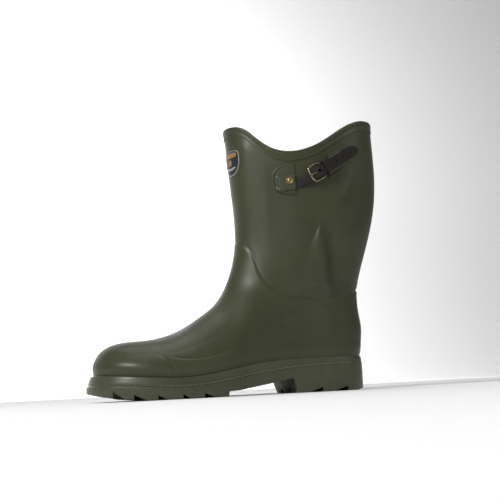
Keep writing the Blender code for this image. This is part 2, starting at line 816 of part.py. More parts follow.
def build_buckle(bar):
    """A frame rounded at the back, its bar and its prong, joined as one."""
    radius = WIRE * MM / 2
    turn = np.linspace(0.0, 2 * np.pi, 33)[:-1]
    c = np.cos(turn)
    s = -7.2 + np.where(c > 0, 7.9 * np.abs(c) ** 0.45, -8.2 * np.abs(c) ** 0.45)
    w = 8.8 * np.sign(np.sin(turn)) * np.abs(np.sin(turn)) ** 0.45
    height = np.interp(s, [-15.4, -8.0, 0.7], [7.0, 5.6, bar])
    frame = wire("buckle", "brass", s, w, height, radius, True)
    rod = wire("rod", None, [0.0, 0.0, 0.0], [-7.0, 0.0, 7.0], [bar] * 3, radius * 0.98, False)
    boolean(frame, rod, "UNION")
    heights = [bar + 0.2, bar + 1.5, 6.9, 8.4]
    prong = wire("prong", None, [0.0, -4.0, -10.0, -15.8], [0.0] * 4, heights, 0.85, False)
    boolean(frame, prong, "UNION")
    outward(frame)


def build_keeper():
    """A leather loop round the long strap and the top of the short one."""
    half = STRAP_WIDTH * MM / 2 + 0.6
    low = 4.0
    high = 9.6
    thick = 1.0
    corners = ((-half, low), (-half, high), (half, high), (half, low))
    spread = ((-1, -1), (-1, 1), (1, 1), (1, -1))
    rows = []
    for (w, h), (dw, dh) in zip(corners, spread):
        loop = []
        for s, out in ((2.6, 0.0), (5.6, 0.0), (5.6, thick), (2.6, thick)):
            x, z = along_strap(np.array([s]), np.array([w + dw * out]))
            loop.append(on_shaft(x, z, np.array([h + dh * out * (0.9 if dh < 0 else 1.0)]))[0])
        rows.append(loop)
    closed_tube("keeper", "leather_brown", rows)


def build_rivet():
    """A round-headed rivet on the front patch."""
    x, z = RIVET_AT
    base = GAP * MM * 2 + PATCH_THICKNESS * MM + float(front_lift(np.array(x), np.array(z)))
    centre = on_shaft(np.array([x]), np.array([z]), np.array([base]))[0]
    tip = on_shaft(np.array([x]), np.array([z]), np.array([base + 1.0]))[0]
    axis = tip - centre
    side = np.cross(axis, (0.0, 0.0, 1.0))
    side /= np.linalg.norm(side)
    over = np.cross(side, axis)
    radius = RIVET_WIDTH * MM / 2
    loops = []
    for rise, wide in ((0.0, 0.86), (0.35, 1.0), (1.0, 0.95), (1.6, 0.72), (1.95, 0.4)):
        loop = []
        for i in range(24):
            a = 2 * math.pi * i / 24
            around = math.cos(a) * side + math.sin(a) * over
            loop.append(centre + axis * rise + radius * wide * around)
        loops.append(loop)
    capped_tube("rivet", "brass", loops)


def set_on_origin():
    """Shift everything so that the box stands on the origin, centred over it."""
    parts = [o for o in bpy.data.objects if o.type == "MESH"]
    corners = [v.co for o in parts for v in o.data.vertices]
    low = [min(c[i] for c in corners) for i in range(3)]
    high = [max(c[i] for c in corners) for i in range(3)]
    shift = ((low[0] + high[0]) / 2, (low[1] + high[1]) / 2, low[2])
    for part in parts:
        for vertex in part.data.vertices:
            for i in range(3):
                vertex.co[i] -= shift[i]
        part.data.update()


def main():
    for obj in list(bpy.data.objects):
        bpy.data.objects.remove(obj, do_unlink=True)
    outside = skin()
    normals = grid_normals(outside)
    inside = build_upper(outside, normals)
    build_insole(inside)
    build_collar(outside, inside, normals)
    build_outsole()
    build_patches()
    build_strap()
    bar = build_chape()
    build_buckle(bar)
    build_keeper()
    build_rivet()
    set_on_origin()


main()
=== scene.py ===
"""Looks of a left rubber boot with a fleece lining, laid out as a Blender add-on.

Lengths are in millimetres in the side view's own frame: toe towards -X, outer
side towards -Y, up is +Z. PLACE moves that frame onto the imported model's.
"""

import math

import bpy
import numpy as np
from mathutils import Matrix, Vector


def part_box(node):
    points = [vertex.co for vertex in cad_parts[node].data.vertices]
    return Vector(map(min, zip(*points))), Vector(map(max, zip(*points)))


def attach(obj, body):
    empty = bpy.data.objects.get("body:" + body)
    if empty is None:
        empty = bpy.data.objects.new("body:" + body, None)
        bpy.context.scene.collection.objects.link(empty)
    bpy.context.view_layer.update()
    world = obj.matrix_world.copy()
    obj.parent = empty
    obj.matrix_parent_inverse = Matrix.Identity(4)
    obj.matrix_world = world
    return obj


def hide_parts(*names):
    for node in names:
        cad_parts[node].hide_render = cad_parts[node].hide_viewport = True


bl_info = {
    "name": "Lined rubber boot",
    "version": (1, 0, 0),
    "blender": (4, 5, 0),
    "location": "3D View > Sidebar > Boot",
    "description": "Models the looks of a rubber boot round its packed solids",
    "category": "Object",
}

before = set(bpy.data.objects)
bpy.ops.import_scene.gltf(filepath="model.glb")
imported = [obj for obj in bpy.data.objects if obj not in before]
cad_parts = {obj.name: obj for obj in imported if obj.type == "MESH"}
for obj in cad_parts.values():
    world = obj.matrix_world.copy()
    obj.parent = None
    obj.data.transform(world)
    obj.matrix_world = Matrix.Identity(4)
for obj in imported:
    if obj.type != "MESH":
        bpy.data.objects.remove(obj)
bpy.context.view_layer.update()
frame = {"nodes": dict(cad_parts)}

MM = 1000.0
TOE_X = -146.2
HEEL_X = 155.5
BOOT_TOP = 306.0
HEEL_TOP = 37.0
INNER_SHIFT = 3.4
PLACE = np.array([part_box("upper")[0].x * MM - TOE_X, INNER_SHIFT, 0.0])

# How far the skin ends below the collar's top line, and the points of a side-view line.
RIM_TUCK = 1.8
LINE_POINTS = 400

# The foot above the sole's top line. Columns: x, height of the sole's top line,
# outer edge, inner edge, ridge of the foot, rise over the sole, roundness.
FOOT_COLUMNS = ("x", "feather", "lateral", "medial", "ridge", "rise", "round")
FOOT = (
    (-150.0, 28.3, 53.0, 49.0, 8.0, 36.2, 2.4),
    (-110.0, 25.2, 53.0, 49.0, 6.5, 37.6, 2.4),
    (-75.0, 22.4, 53.0, 49.0, 5.0, 43.0, 2.3),
    (-45.0, 22.9, 52.6, 46.5, 4.0, 53.0, 2.1),
    (-20.0, 26.2, 50.0, 41.5, 3.0, 65.6, 2.0),
    (5.0, 30.8, 45.5, 35.5, 1.5, 94.0, 1.95),
    (30.0, 34.4, 40.5, 31.0, 0.5, 180.0, 1.9),
    (65.0, 36.7, 36.0, 30.5, 0.0, 300.0, 1.9),
    (105.0, 37.5, 34.8, 33.0, 0.0, 420.0, 1.9),
    (155.0, 37.0, 34.8, 33.5, 0.0, 560.0, 1.9),
)

# The shaft. Columns: level above the heel's top line, front, back, half widths,
# reach of the rounding at the back.
SHAFT_COLUMNS = ("level", "front", "back", "lateral", "medial", "reach")
SHAFT = (
    (0.0, -150.0, 155.5, 35.0, 33.0, 50.0),
    (14.0, -110.0, 157.3, 36.0, 34.0, 50.0),
    (31.0, -62.0, 158.8, 37.0, 35.0, 51.0),
    (50.0, -25.5, 156.3, 38.0, 36.0, 54.0),
    (68.0, -5.8, 155.4, 39.0, 37.5, 60.0),
    (83.0, 3.4, 157.6, 40.5, 39.0, 68.0),
    (100.0, 10.4, 162.6, 42.5, 41.0, 76.0),
    (120.0, 15.6, 169.6, 44.5, 43.2, 82.0),
    (145.0, 17.6, 177.6, 46.8, 45.6, 85.0),
    (175.0, 16.4, 184.4, 48.4, 47.4, 86.5),
    (205.0, 14.0, 186.8, 49.0, 48.4, 88.0),
    (235.0, 12.0, 186.4, 49.0, 48.8, 89.0),
    (272.0, 9.5, 184.6, 49.0, 49.0, 90.0),
)

# The collar's top line. Columns: x, level below the boot's top.
COLLAR_COLUMNS = ("x", "below")
COLLAR = (
    (9.0, 6.3),
    (20.0, 10.2),
    (34.0, 24.3),
    (48.0, 37.2),
    (71.0, 43.8),
    (99.0, 36.6),
    (130.0, 17.6),
    (155.0, 4.0),
    (187.0, 0.0),
)

# How rings climb from sole to collar. Columns: share of the rings, share of the
# front line, share of the back line, drop over the vamp.
RING_COLUMNS = ("share", "front", "back", "drop")
RINGS = (
    (0.0, 0.0, 0.0, 0.0),
    (0.1, 0.08, 0.045, 0.35),
    (0.3, 0.29, 0.155, 0.8),
    (0.5, 0.49, 0.285, 0.75),
    (0.62, 0.61, 0.39, 0.3),
    (0.75, 0.735, 0.56, 0.0),
    (1.0, 1.0, 1.0, 0.0),
)

# The sole's side. Columns: x, how far it stands out, drop of the stitch line.
EDGE_COLUMNS = ("x", "proud", "drop")
EDGE = (
    (-150.0, 7.6, 10.0),
    (-125.0, 5.0, 9.4),
    (-95.0, 4.2, 8.7),
    (-50.0, 4.2, 8.8),
    (0.0, 4.2, 9.8),
    (40.0, 4.0, 9.6),
    (75.0, 3.8, 8.2),
    (125.0, 3.4, 7.2),
    (155.0, 1.6, 6.5),
)

# The bottom of the tread. Columns: x, level.
UNDERSIDE = (
    (-95.0, 0.0),
    (-14.6, 0.0),
    (-14.0, 5.2),
    (-2.0, 5.9),
    (21.0, 9.2),
    (45.0, 12.8),
    (62.3, 16.0),
    (68.2, 0.0),
    (141.0, 0.0),
    (155.5, 2.4),
)
TOE_SPRING = 12.0
LUG_DEPTH = 5.0
NOTCH_REACH = 25.0
BELOW_TREAD = -4.0
SOLE_GAP = 0.1

# Notches between the lugs. Columns: x of the deep end, x where it runs out.
NOTCHES = (
    (-132.9, -120.9),
    (-113.1, -98.7),
    (-89.4, -77.6),
    (-63.9, -53.8),
    (-40.8, -27.6),
    (97.0, 79.0),
    (128.0, 107.0),
)
CROSS_GROOVES = (-116.0, -93.0, -69.0, -46.0, -25.0, 90.0, 114.0)

# The ankle seam, from the front of the shaft round to the back. Columns: x, z.
ANKLE_SEAM = (
    (3.0, 177.5),
    (7.0, 175.9),
    (14.7, 171.7),
    (22.3, 162.9),
    (27.4, 152.9),
    (30.2, 141.4),
    (33.5, 129.6),
    (38.6, 120.6),
    (45.7, 112.8),
    (54.6, 107.6),
    (73.9, 104.3),
    (96.7, 101.0),
    (113.9, 99.5),
    (135.0, 104.0),
    (158.0, 112.5),
)

# The foot seam, from the heel down to the toe cap. Columns: x, z.
FOOT_SEAM = (
    (-80.0, 44.6),
    (-73.7, 43.6),
    (-60.2, 41.0),
    (-44.2, 40.7),
    (-27.4, 43.0),
    (-10.2, 48.1),
    (7.6, 54.6),
    (28.4, 63.7),
    (50.2, 73.7),
    (68.2, 81.2),
    (88.4, 88.5),
    (110.6, 96.4),
)

# The toe cap's crease, from the sole up over the foot. Columns: z, x.
TOE_SEAM = (
    (26.0, -69.0),
    (27.2, -69.1),
    (30.4, -71.1),
    (37.8, -74.9),
    (45.3, -80.9),
    (48.6, -87.9),
    (53.0, -96.0),
    (58.0, -103.0),
    (64.0, -108.0),
)

# Soft folds of the shaft, placed in the side view: (x, z) of both ends,
# half width, height (a ridge is above zero, a trough below).
OUTER_FOLDS = (
    ((25.0, 296.0), (22.0, 160.0), 8.0, 1.3),
    ((58.0, 268.0), (54.0, 146.0), 19.0, -2.3),
    ((140.0, 232.0), (99.0, 172.0), 8.0, 2.4),
    ((97.0, 176.0), (62.0, 118.0), 6.0, 0.8),
    ((120.0, 170.0), (116.0, 104.0), 9.0, -2.3),
    ((86.0, 118.0), (102.0, 112.0), 8.0, 0.6),
    ((130.0, 156.0), (148.0, 190.0), 12.0, 0.8),
)
INNER_FOLDS = (
    ((30.0, 285.0), (26.0, 170.0), 11.0, 1.0),
    ((44.0, 262.0), (40.0, 150.0), 12.0, -1.5),
    ((132.0, 230.0), (104.0, 168.0), 11.0, 1.4),
    ((104.0, 168.0), (74.0, 116.0), 9.0, 1.0),
    ((118.0, 158.0), (112.0, 106.0), 9.0, -1.6),
    ((60.0, 205.0), (58.0, 140.0), 18.0, -0.9),
)

# The strap fittings on the outer side, in the side view.
# A patch: (x, z) of the middle of its straight edge, reach, half height, slope.
FRONT_PATCH = ((74.0, 233.5), -26.0, 18.0, 0.0)
REAR_PATCH = ((113.8, 247.4), 40.0, 13.4, 0.53)
RIVET_AT = (67.9, 231.2)
BAR_AT = (104.0, 243.0)
STRAP_SLOPE = math.radians(28.0)
STRAP_WIDTH = 12.0
STRAP_THICKNESS = 2.0
PATCH_THICKNESS = 1.5
PATCH_ROUND = 2.4
WIRE = 2.2
GAP = 0.3

# The long strap. Columns: x, z of its middle, height over the shaft.
STRAP_COLUMNS = ("x", "z", "height")
STRAP = (
    (61.0, 228.0, 0.3),
    (74.0, 229.2, 0.3),
    (81.0, 230.3, 1.0),
    (88.0, 233.4, 2.4),
    (95.0, 237.5, 4.4),
    (102.0, 241.6, 6.9),
    (110.0, 246.6, 7.1),
    (119.0, 252.0, 7.6),
    (129.0, 258.2, 8.6),
    (138.0, 263.6, 9.4),
    (145.5, 267.4, 10.0),
)
STRAP_POINT_X = 139.0
STRAP_HOLES = (17.5, 26.0, 34.5)
CHAPE_THICKNESS = 1.8
BAR_ROOM = 0.3
BAR_HEIGHT = GAP + CHAPE_THICKNESS + BAR_ROOM + WIRE / 2


def spline(table, columns, name, at):
    """A column of a table as a natural cubic spline over its first column."""
    x = np.array([row[0] for row in table])
    y = np.array([row[columns.index(name)] for row in table])
    gap = np.diff(x)
    slope = np.diff(y) / gap
    system = np.eye(len(x))
    right = np.zeros(len(x))
    for i in range(1, len(x) - 1):
        system[i, i - 1 : i + 2] = gap[i - 1], 2 * (gap[i - 1] + gap[i]), gap[i]
        right[i] = 6 * (slope[i] - slope[i - 1])
    bend = np.linalg.solve(system, right)
    at = np.clip(at, x[0], x[-1])
    i = np.clip(np.searchsorted(x, at) - 1, 0, len(x) - 2)
    s = at - x[i]
    linear = slope[i] - gap[i] * (2 * bend[i] + bend[i + 1]) / 6
    cubic = (bend[i + 1] - bend[i]) / (6 * gap[i])
    return y[i] + s * linear + s**2 * bend[i] / 2 + s**3 * cubic


def unit(vectors):
    """Vectors along the last axis, each brought to length 1."""
    return vectors / np.linalg.norm(vectors, axis=-1, keepdims=True)


def travelled(line):
    """How far along a line each of its points lies."""
    return np.concatenate([[0.0], np.cumsum(np.linalg.norm(np.diff(line, axis=0), axis=1))])


def ridge_of(distance, half):
    """A bell: 1 at the middle, fading over a half width."""
    return np.exp(-((distance / half) ** 2))


def rounded(share, power):
    """A superellipse's quarter: 0 at the edge, 1 once the share reaches 1."""
    share = np.clip(share, 0.0, 1.0)
    return (1 - (1 - share) ** power) ** (1 / power)


def eased(value, low, high):
    """A smooth step from 0 at low to 1 at high."""
    share = np.clip((value - low) / (high - low), 0.0, 1.0)
    return share**2 * (3 - 2 * share)


def foot(name, x):
    return spline(FOOT, FOOT_COLUMNS, name, x)


def shaft(name, z):
    return spline(SHAFT, SHAFT_COLUMNS, name, z - HEEL_TOP)


def collar(x):
    """Height of the collar's top line."""
    return BOOT_TOP - spline(COLLAR, COLLAR_COLUMNS, "below", x)


def evenly(line, count, weight=None):
    """Points evenly spaced along a line, or packed by a weight."""
    step = np.linalg.norm(np.diff(line, axis=0), axis=1)
    if weight is not None:
        step = step * (weight[1:] + weight[:-1]) / 2
    done = np.concatenate([[0.0], np.cumsum(step)])
    at = np.linspace(0.0, done[-1], count)
    return np.stack([np.interp(at, done, line[:, i]) for i in range(line.shape[1])], 1)


def below_rim(line):
    return line[line[:, 1] < collar(line[:, 0]) - RIM_TUCK]


def front_line():
    """The side view's front: toe tip, top of the foot, front of the shaft."""
    turn = np.linspace(0.0, 1.0, 120)
    x = TOE_X + (-25.0 - TOE_X) * turn**2
    rise = foot("rise", x) * rounded((x - TOE_X) / 45.0, 2.5)
    low = np.stack([x, foot("feather", x) + rise], 1)
    z = np.linspace(low[-1, 1] + 4.0, BOOT_TOP, 160)
    high = np.stack([shaft("front", z), z], 1)
    smooth = evenly(np.concatenate([low, high]), 500)
    for _ in range(60):
        smooth[60:-1] = (smooth[59:-2] + 2 * smooth[60:-1] + smooth[61:]) / 4
    return below_rim(smooth)


def back_line():
    z = np.linspace(float(foot("feather", HEEL_X)), BOOT_TOP, 400)
    return below_rim(np.stack([shaft("back", z), z], 1))


FRONT_LINE = evenly(front_line(), LINE_POINTS)
BACK_LINE = evenly(back_line(), LINE_POINTS)


def at_share(line, share):
    """The point at a share of a line's length, and its direction there."""
    last = LINE_POINTS - 1
    where = share * last
    low = min(int(where), last - 1)
    point = line[low] + (line[low + 1] - line[low]) * (where - low)
    return point, unit(line[min(low + 4, last)] - line[max(low - 4, 0)])


def edges(x, z):
    """The outer and inner sides of the skin at a point of the side view."""
    behind = rounded((shaft("back", z) - x) / shaft("reach", z), 2.2)
    ridge = foot("ridge", x)
    crest = foot("rise", x) * rounded((x - TOE_X) / 45.0, 2.5)
    up = np.clip((z - foot("feather", x)) / np.maximum(crest, 1e-6), 0.0, 1.0)
    power = foot("round", x)
    over = (1 - up**power) ** (1 / power)
    over = over * (1 + 0.035 * np.sin(np.pi * np.clip(up / 0.6, 0.0, 1.0)))
    toe = rounded((x - TOE_X) / 85.0, 2.2)
    ahead = np.interp(z, FRONT_LINE[:, 1], FRONT_LINE[:, 0])
    leading = rounded((x - ahead) / 90.0, 2.1)
    high = eased(z - HEEL_TOP, 38.0, 95.0)
    sides = []
    for side, name in ((-1, "lateral"), (1, "medial")):
        low = (foot(name, x) - side * ridge) * toe * over
        tall = shaft(name, z) * leading
        sides.append(ridge + side * behind * ((1 - high) * low + high * tall))
    return sides


def ring(share, half):
    """One ring of the skin: the outer half and the inner half, front to back."""
    ahead = spline(RINGS, RING_COLUMNS, "front", share)
    behind = spline(RINGS, RING_COLUMNS, "back", share)
    drop = np.interp(share, [row[0] for row in RINGS], [row[3] for row in RINGS])
    (ax, az), going = at_share(FRONT_LINE, ahead)
    (bx, bz), _ = at_share(BACK_LINE, behind)
    start = np.array([ax, az - foot("feather", ax)])
    end = np.array([bx, bz - foot("feather", bx)])
    bent = min(drop / 0.7, 1.0)
    inward = start + np.array([going[1], -going[0]]) * start[1] * drop
    first = (1 - bent) * (start * 2 + end) / 3 + bent * inward
    level = end - np.array([0.43 * (bx - ax), 0.0])
    second = (1 - bent) * (start + end * 2) / 3 + bent * level
    t = (1 - np.cos(np.linspace(0.0, np.pi, 520))) / 2
    keys = np.array([start, first, second, end])
    bend = np.stack([(1 - t) ** 3, 3 * t * (1 - t) ** 2, 3 * t**2 * (1 - t), t**3])
    x, rise = (bend[:, :, None] * keys[:, None, :]).sum(0).T
    z = rise + foot("feather", x)
    rim = collar(x) - RIM_TUCK
    ends = rim[0] + (rim[-1] - rim[0]) * (x - x[0]) / (x[-1] - x[0])
    z = z + (rim - ends) * eased(share, 0.66, 1.0) ** 1.3
    halves = []
    for y in edges(x, z):
        y[0] = foot("ridge", x[0])
        y[-1] = foot("ridge", x[-1])
        line = np.stack([x, y, z], 1)
        done = travelled(line)
        weight = 1 + 0.8 * np.exp(-done / 30.0) + 0.5 * np.exp((done - done[-1]) / 25.0)
        halves.append(evenly(line, half + 1, weight))
    return halves


def skin(rows, half):
    """Rings of points over the outside, sole to collar, each starting at the front."""
    rings = []
    for i in range(rows):
        outer, inner = ring(i / (rows - 1), half)
        rings.append(np.concatenate([outer, inner[-2:0:-1]]))
    return np.array(rings)


def grid_normals(rings):
    """Outward normals of rings that run front, outer side, back, inner side."""
    around = np.roll(rings, -1, 1) - np.roll(rings, 1, 1)
    upward = np.gradient(rings, axis=0)
    normal = np.cross(around, upward)
    return normal / np.maximum(np.linalg.norm(normal, axis=2, keepdims=True), 1e-9)


def near_line(x, z, line):
    """Distance from side-view points to a line, signed: above zero on its left."""
    best = np.full(x.shape, 1e9)
    sign = np.zeros(x.shape)
    for a, b in zip(line[:-1], line[1:]):
        run = b - a
        length = max(float(run @ run), 1e-9)
        t = np.clip(((x - a[0]) * run[0] + (z - a[1]) * run[1]) / length, 0.0, 1.0)
        dx = x - a[0] - t * run[0]
        dz = z - a[1] - t * run[1]
        far = np.hypot(dx, dz)
        closer = far < best
        best = np.where(closer, far, best)
        sign = np.where(closer, np.sign(run[0] * dz - run[1] * dx), sign)
    return best * np.where(sign == 0, 1.0, sign)


def smooth_line(points, count=90):
    """A smooth line through given points."""
    points = np.array(points)
    done = travelled(points)
    at = np.linspace(0.0, done[-1], count)
    table = [tuple(row) for row in np.column_stack([done, points])]
    names = ("d", "a", "b")
    return np.stack([spline(table, names, "a", at), spline(table, names, "b", at)], 1)


def fold(x, z, start, end, half, height):
    """A soft ridge or trough along a line, fading at both ends."""
    start = np.array(start)
    run = np.array(end) - start
    length = float(np.hypot(*run))
    t = ((x - start[0]) * run[0] + (z - start[1]) * run[1]) / length**2
    off = ((x - start[0]) * run[1] - (z - start[1]) * run[0]) / length
    fade = eased(t, -0.3, 0.42) * (1 - eased(t, 0.58, 1.3))
    return height * ridge_of(off, half) * fade


def waves(x, y, z):
    """The gentle unevenness of hand-laid rubber."""
    a = np.sin(x / 17.0 + 1.3) * np.sin(z / 23.0 + y / 31.0)
    b = np.sin(x / 9.5 - z / 13.0 + 0.7) * np.sin(y / 12.0 + z / 19.0 + 2.1)
    c = np.sin(x / 41.0 + z / 37.0)
    return 0.16 * a + 0.09 * b + 0.2 * c


def facet(x, z):
    """The flat face pressed out above the heel: it rises towards an edge at the rear."""
    left = np.interp(z, (104.0, 118.0, 172.0, 184.0), (70.0, 60.0, 94.0, 100.0))
    edge = np.interp(z, (104.0, 172.0, 184.0), (104.0, 99.0, 99.0))
    share = np.clip((x - left) / np.maximum(edge - left, 2.0), 0.0, 1.0)
    behind = ridge_of(np.maximum(x - edge, 0.0), 8.0)
    tall = eased(z, 102.0, 118.0) * (1 - eased(z, 150.0, 190.0))
    return 5.6 * (0.45 * share + 0.55 * eased(share, 0.0, 1.0)) * behind * tall


def shaft_folds(x, y, z):
    """Folds of the shaft, which fade out towards its front and back."""
    off_middle = y - foot("ridge", x)
    outer = off_middle < 0
    lift = np.where(outer, facet(x, z), 0.7 * facet(x - 4.0, z))
    for folds, mask in ((OUTER_FOLDS, outer), (INNER_FOLDS, ~outer)):
        for start, end, half, height in folds:
            lift = lift + np.where(mask, fold(x, z, start, end, half, height), 0.0)
    return lift * eased(np.abs(off_middle), 4.0, 18.0)


def ankle_overlay(x, z):
    """The foot's thicker layer and the groove along its upper edge."""
    above = near_line(x, z, smooth_line(ANKLE_SEAM))
    fade = 1 - 0.75 * eased(x, 106.0, 118.0) * (1 - eased(x, 140.0, 150.0))
    layer = 0.6 * (1 - eased(above, -1.8, 0.4)) * eased(z, 30.0, 95.0)
    return (layer - 0.5 * ridge_of(above - 0.7, 0.9)) * fade


def foot_overlay(x, z):
    """The low layer round the foot and the groove along its upper edge."""
    above = near_line(x, z, smooth_line(FOOT_SEAM))
    ends = eased(x, -80.0, -64.0) * (1 - eased(x, 104.0, 113.0))
    layer = 0.4 * (1 - eased(above, -1.8, 0.4)) * (1 - eased(-above, 8.0, 30.0))
    return (layer - 0.38 * ridge_of(above - 0.3, 0.95)) * ends


def toe_crease(x, z):
    """The short crease at the toe cap: a groove between two low ridges."""
    ahead = near_line(x, z, smooth_line(TOE_SEAM)[:, ::-1])
    ridges = 0.3 * ridge_of(ahead + 3.0, 2.4) + 0.25 * ridge_of(ahead - 3.4, 2.8)
    reach = eased(z, 24.0, 29.0) * (1 - eased(z, 39.0, 50.0))
    return (ridges - 0.75 * ridge_of(ahead, 1.2)) * reach


def relief(points):
    """How far the finished skin stands from the plain one, at points of the skin."""
    x, y, z = points[..., 0], points[..., 1], points[..., 2]
    above = z - foot("feather", x)
    roll = 0.9 * ridge_of(above - 10.0, 6.0) - 0.7 * ridge_of(above, 3.2)
    pinch = ridge_of(z - 112.5, 1.6) * eased(x, 148.0, 156.0)
    lift = waves(x, y, z) + shaft_folds(x, y, z)
    lift = lift + ankle_overlay(x, z) + foot_overlay(x, z) + toe_crease(x, z)
    lift = lift + roll * (1 - 0.35 * eased(x, 60.0, 110.0)) - pinch
    return lift * eased(collar(x) - z, 4.0, 22.0)


def sheet_of(points, name):
    """A grid primitive whose points are moved onto a surface."""
    rows, columns = points.shape[:2]
    bpy.ops.object.select_all(action="DESELECT")
    bpy.ops.mesh.primitive_grid_add(x_subdivisions=columns - 1, y_subdivisions=rows - 1, size=1.0)
    obj = bpy.context.object
    obj.name = name
    obj.data.name = name
    place = (points + PLACE) / MM
    obj.data.vertices.foreach_set("co", place.reshape(-1, 3).astype(np.float32).ravel())
    obj.data.update()
    return obj


def mesh_of(points, faces, name):
    """An object from points and faces, for what no primitive gives."""
    mesh = bpy.data.meshes.new(name)
    mesh.from_pydata(((points + PLACE) / MM).tolist(), [], faces)
    obj = bpy.data.objects.new(name, mesh)
    bpy.context.scene.collection.objects.link(obj)
    edit(obj, face_out)
    return obj


def pick(obj):
    """Selects one object alone and makes it active."""
    bpy.ops.object.select_all(action="DESELECT")
    obj.select_set(True)
    bpy.context.view_layer.objects.active = obj


def edit(obj, *steps):
    """Runs edit-mode operators on the whole mesh."""
    pick(obj)
    bpy.ops.object.mode_set(mode="EDIT")
    bpy.ops.mesh.select_all(action="SELECT")
    for step in steps:
        step()
    bpy.ops.object.mode_set(mode="OBJECT")


def weld():
    bpy.ops.mesh.remove_doubles(threshold=0.00001)


def face_out():
    bpy.ops.mesh.normals_make_consistent(inside=False)


def closed_surface(points, name):
    """A surface closed on itself both ways: a wall with an inside and an outside."""
    points = np.concatenate([points, points[:, :1]], 1)
    points = np.concatenate([points, points[:1]], 0)
    obj = sheet_of(points, name)
    edit(obj, weld, face_out)
    return obj


def slab_of(low, high, name):
    """A closed slab between two grids of points, low and high."""
    top = np.concatenate([low[:, :1], high, low[:, -1:]], 1)
    obj = sheet_of(np.concatenate([top, low[:, ::-1]], 1), name)
    edit(obj, weld, fill_ends, face_out)
    return obj


def fill_ends():
    bpy.ops.mesh.select_all(action="DESELECT")
    bpy.ops.mesh.select_non_manifold(extend=False)
    bpy.ops.mesh.edge_face_add()
    bpy.ops.mesh.select_all(action="SELECT")


def apply(obj, kind, **settings):
    """Adds a modifier and applies it."""
    pick(obj)
    made = obj.modifiers.new(kind.lower(), kind)
    for key, value in settings.items():
        setattr(made, key, value)
    bpy.ops.object.modifier_apply(modifier=made.name)


def cut(obj, cutter):
    """Takes a cutter out of a piece, and the cutter out of the scene."""
    apply(obj, "BOOLEAN", operation="DIFFERENCE", solver="EXACT", object=cutter)
    bpy.data.objects.remove(cutter, do_unlink=True)


def soften(obj, width, degrees):
    """Rounds the edges that are sharper than an angle. The width is in millimetres."""
    limit = math.radians(degrees)
    apply(obj, "BEVEL", width=width / MM, segments=2, limit_method="ANGLE", angle_limit=limit)


def finish_piece(obj, material, slot, *nodes, angle=40.0):
    """Gives a finished piece its material and its body, and hides its CAD nodes. The slot is not used."""
    obj.data.materials.clear()
    obj.data.materials.append(material)
    pick(obj)
    bpy.ops.object.shade_smooth_by_angle(angle=math.radians(angle))
    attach(obj, "root")
    if nodes:
        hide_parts(*nodes)


# Materials
def new_material(name):
    """A material, its node tree and its shader."""
    material = bpy.data.materials.new(name)
    material.use_nodes = True
    tree = material.node_tree
    return material, tree, tree.nodes["Principled BSDF"]


def put(tree, kind, **inputs):
    """Adds a node and sets its inputs; names with spaces use underscores."""
    made = tree.nodes.new(kind)
    for key, value in inputs.items():
        made.inputs[key.replace("_", " ")].default_value = value
    return made


def noise(tree, scale, detail=3.0, rough=0.55, stretch=None):
    """Noise on object coordinates, its scale in cycles over a metre."""
    where = tree.nodes.new("ShaderNodeTexCoord").outputs["Object"]
    if stretch:
        mapping = put(tree, "ShaderNodeMapping")
        mapping.inputs["Scale"].default_value = stretch
        tree.links.new(where, mapping.inputs["Vector"])
        where = mapping.outputs["Vector"]
    made = put(tree, "ShaderNodeTexNoise", Scale=scale, Detail=detail, Roughness=rough)
    tree.links.new(where, made.inputs["Vector"])
    return made.outputs["Fac"]


def cells(tree, scale):
    """Cell pattern on object coordinates."""
    where = tree.nodes.new("ShaderNodeTexCoord").outputs["Object"]
    made = put(tree, "ShaderNodeTexVoronoi", Scale=scale)
    tree.links.new(where, made.inputs["Vector"])
    return made.outputs["Distance"]


def between(tree, value, low, high, to_low, to_high):
    """A value mapped from one range to another."""
    made = put(tree, "ShaderNodeMapRange", From_Min=low, From_Max=high, To_Min=to_low, To_Max=to_high)
    tree.links.new(value, made.inputs["Value"])
    return made.outputs["Result"]


def blend(tree, share, first, second):
    """Mixes two colours by a share. The first may be a socket."""
    made = tree.nodes.new("ShaderNodeMix")
    made.data_type = "RGBA"
    tree.links.new(share, made.inputs["Factor"])
    into = [s for s in made.inputs if s.type == "RGBA"]
    into[1].default_value = (*second, 1.0)
    if isinstance(first, bpy.types.NodeSocket):
        tree.links.new(first, into[0])
    else:
        into[0].default_value = (*first, 1.0)
    return [s for s in made.outputs if s.type == "RGBA"][0]


def bumps(tree, shader, *layers):
    """Stacks bump layers: (height socket, strength, distance in metres)."""
    normal = None
    for height, strength, distance in layers:
        made = put(tree, "ShaderNodeBump", Strength=strength, Distance=distance)
        tree.links.new(height, made.inputs["Height"])
        if normal is not None:
            tree.links.new(normal, made.inputs["Normal"])
        normal = made.outputs["Normal"]
    tree.links.new(normal, shader.inputs["Normal"])


def shade(colour, by):
    """A colour made darker or lighter."""
    return tuple(min(c * by, 1.0) for c in colour)


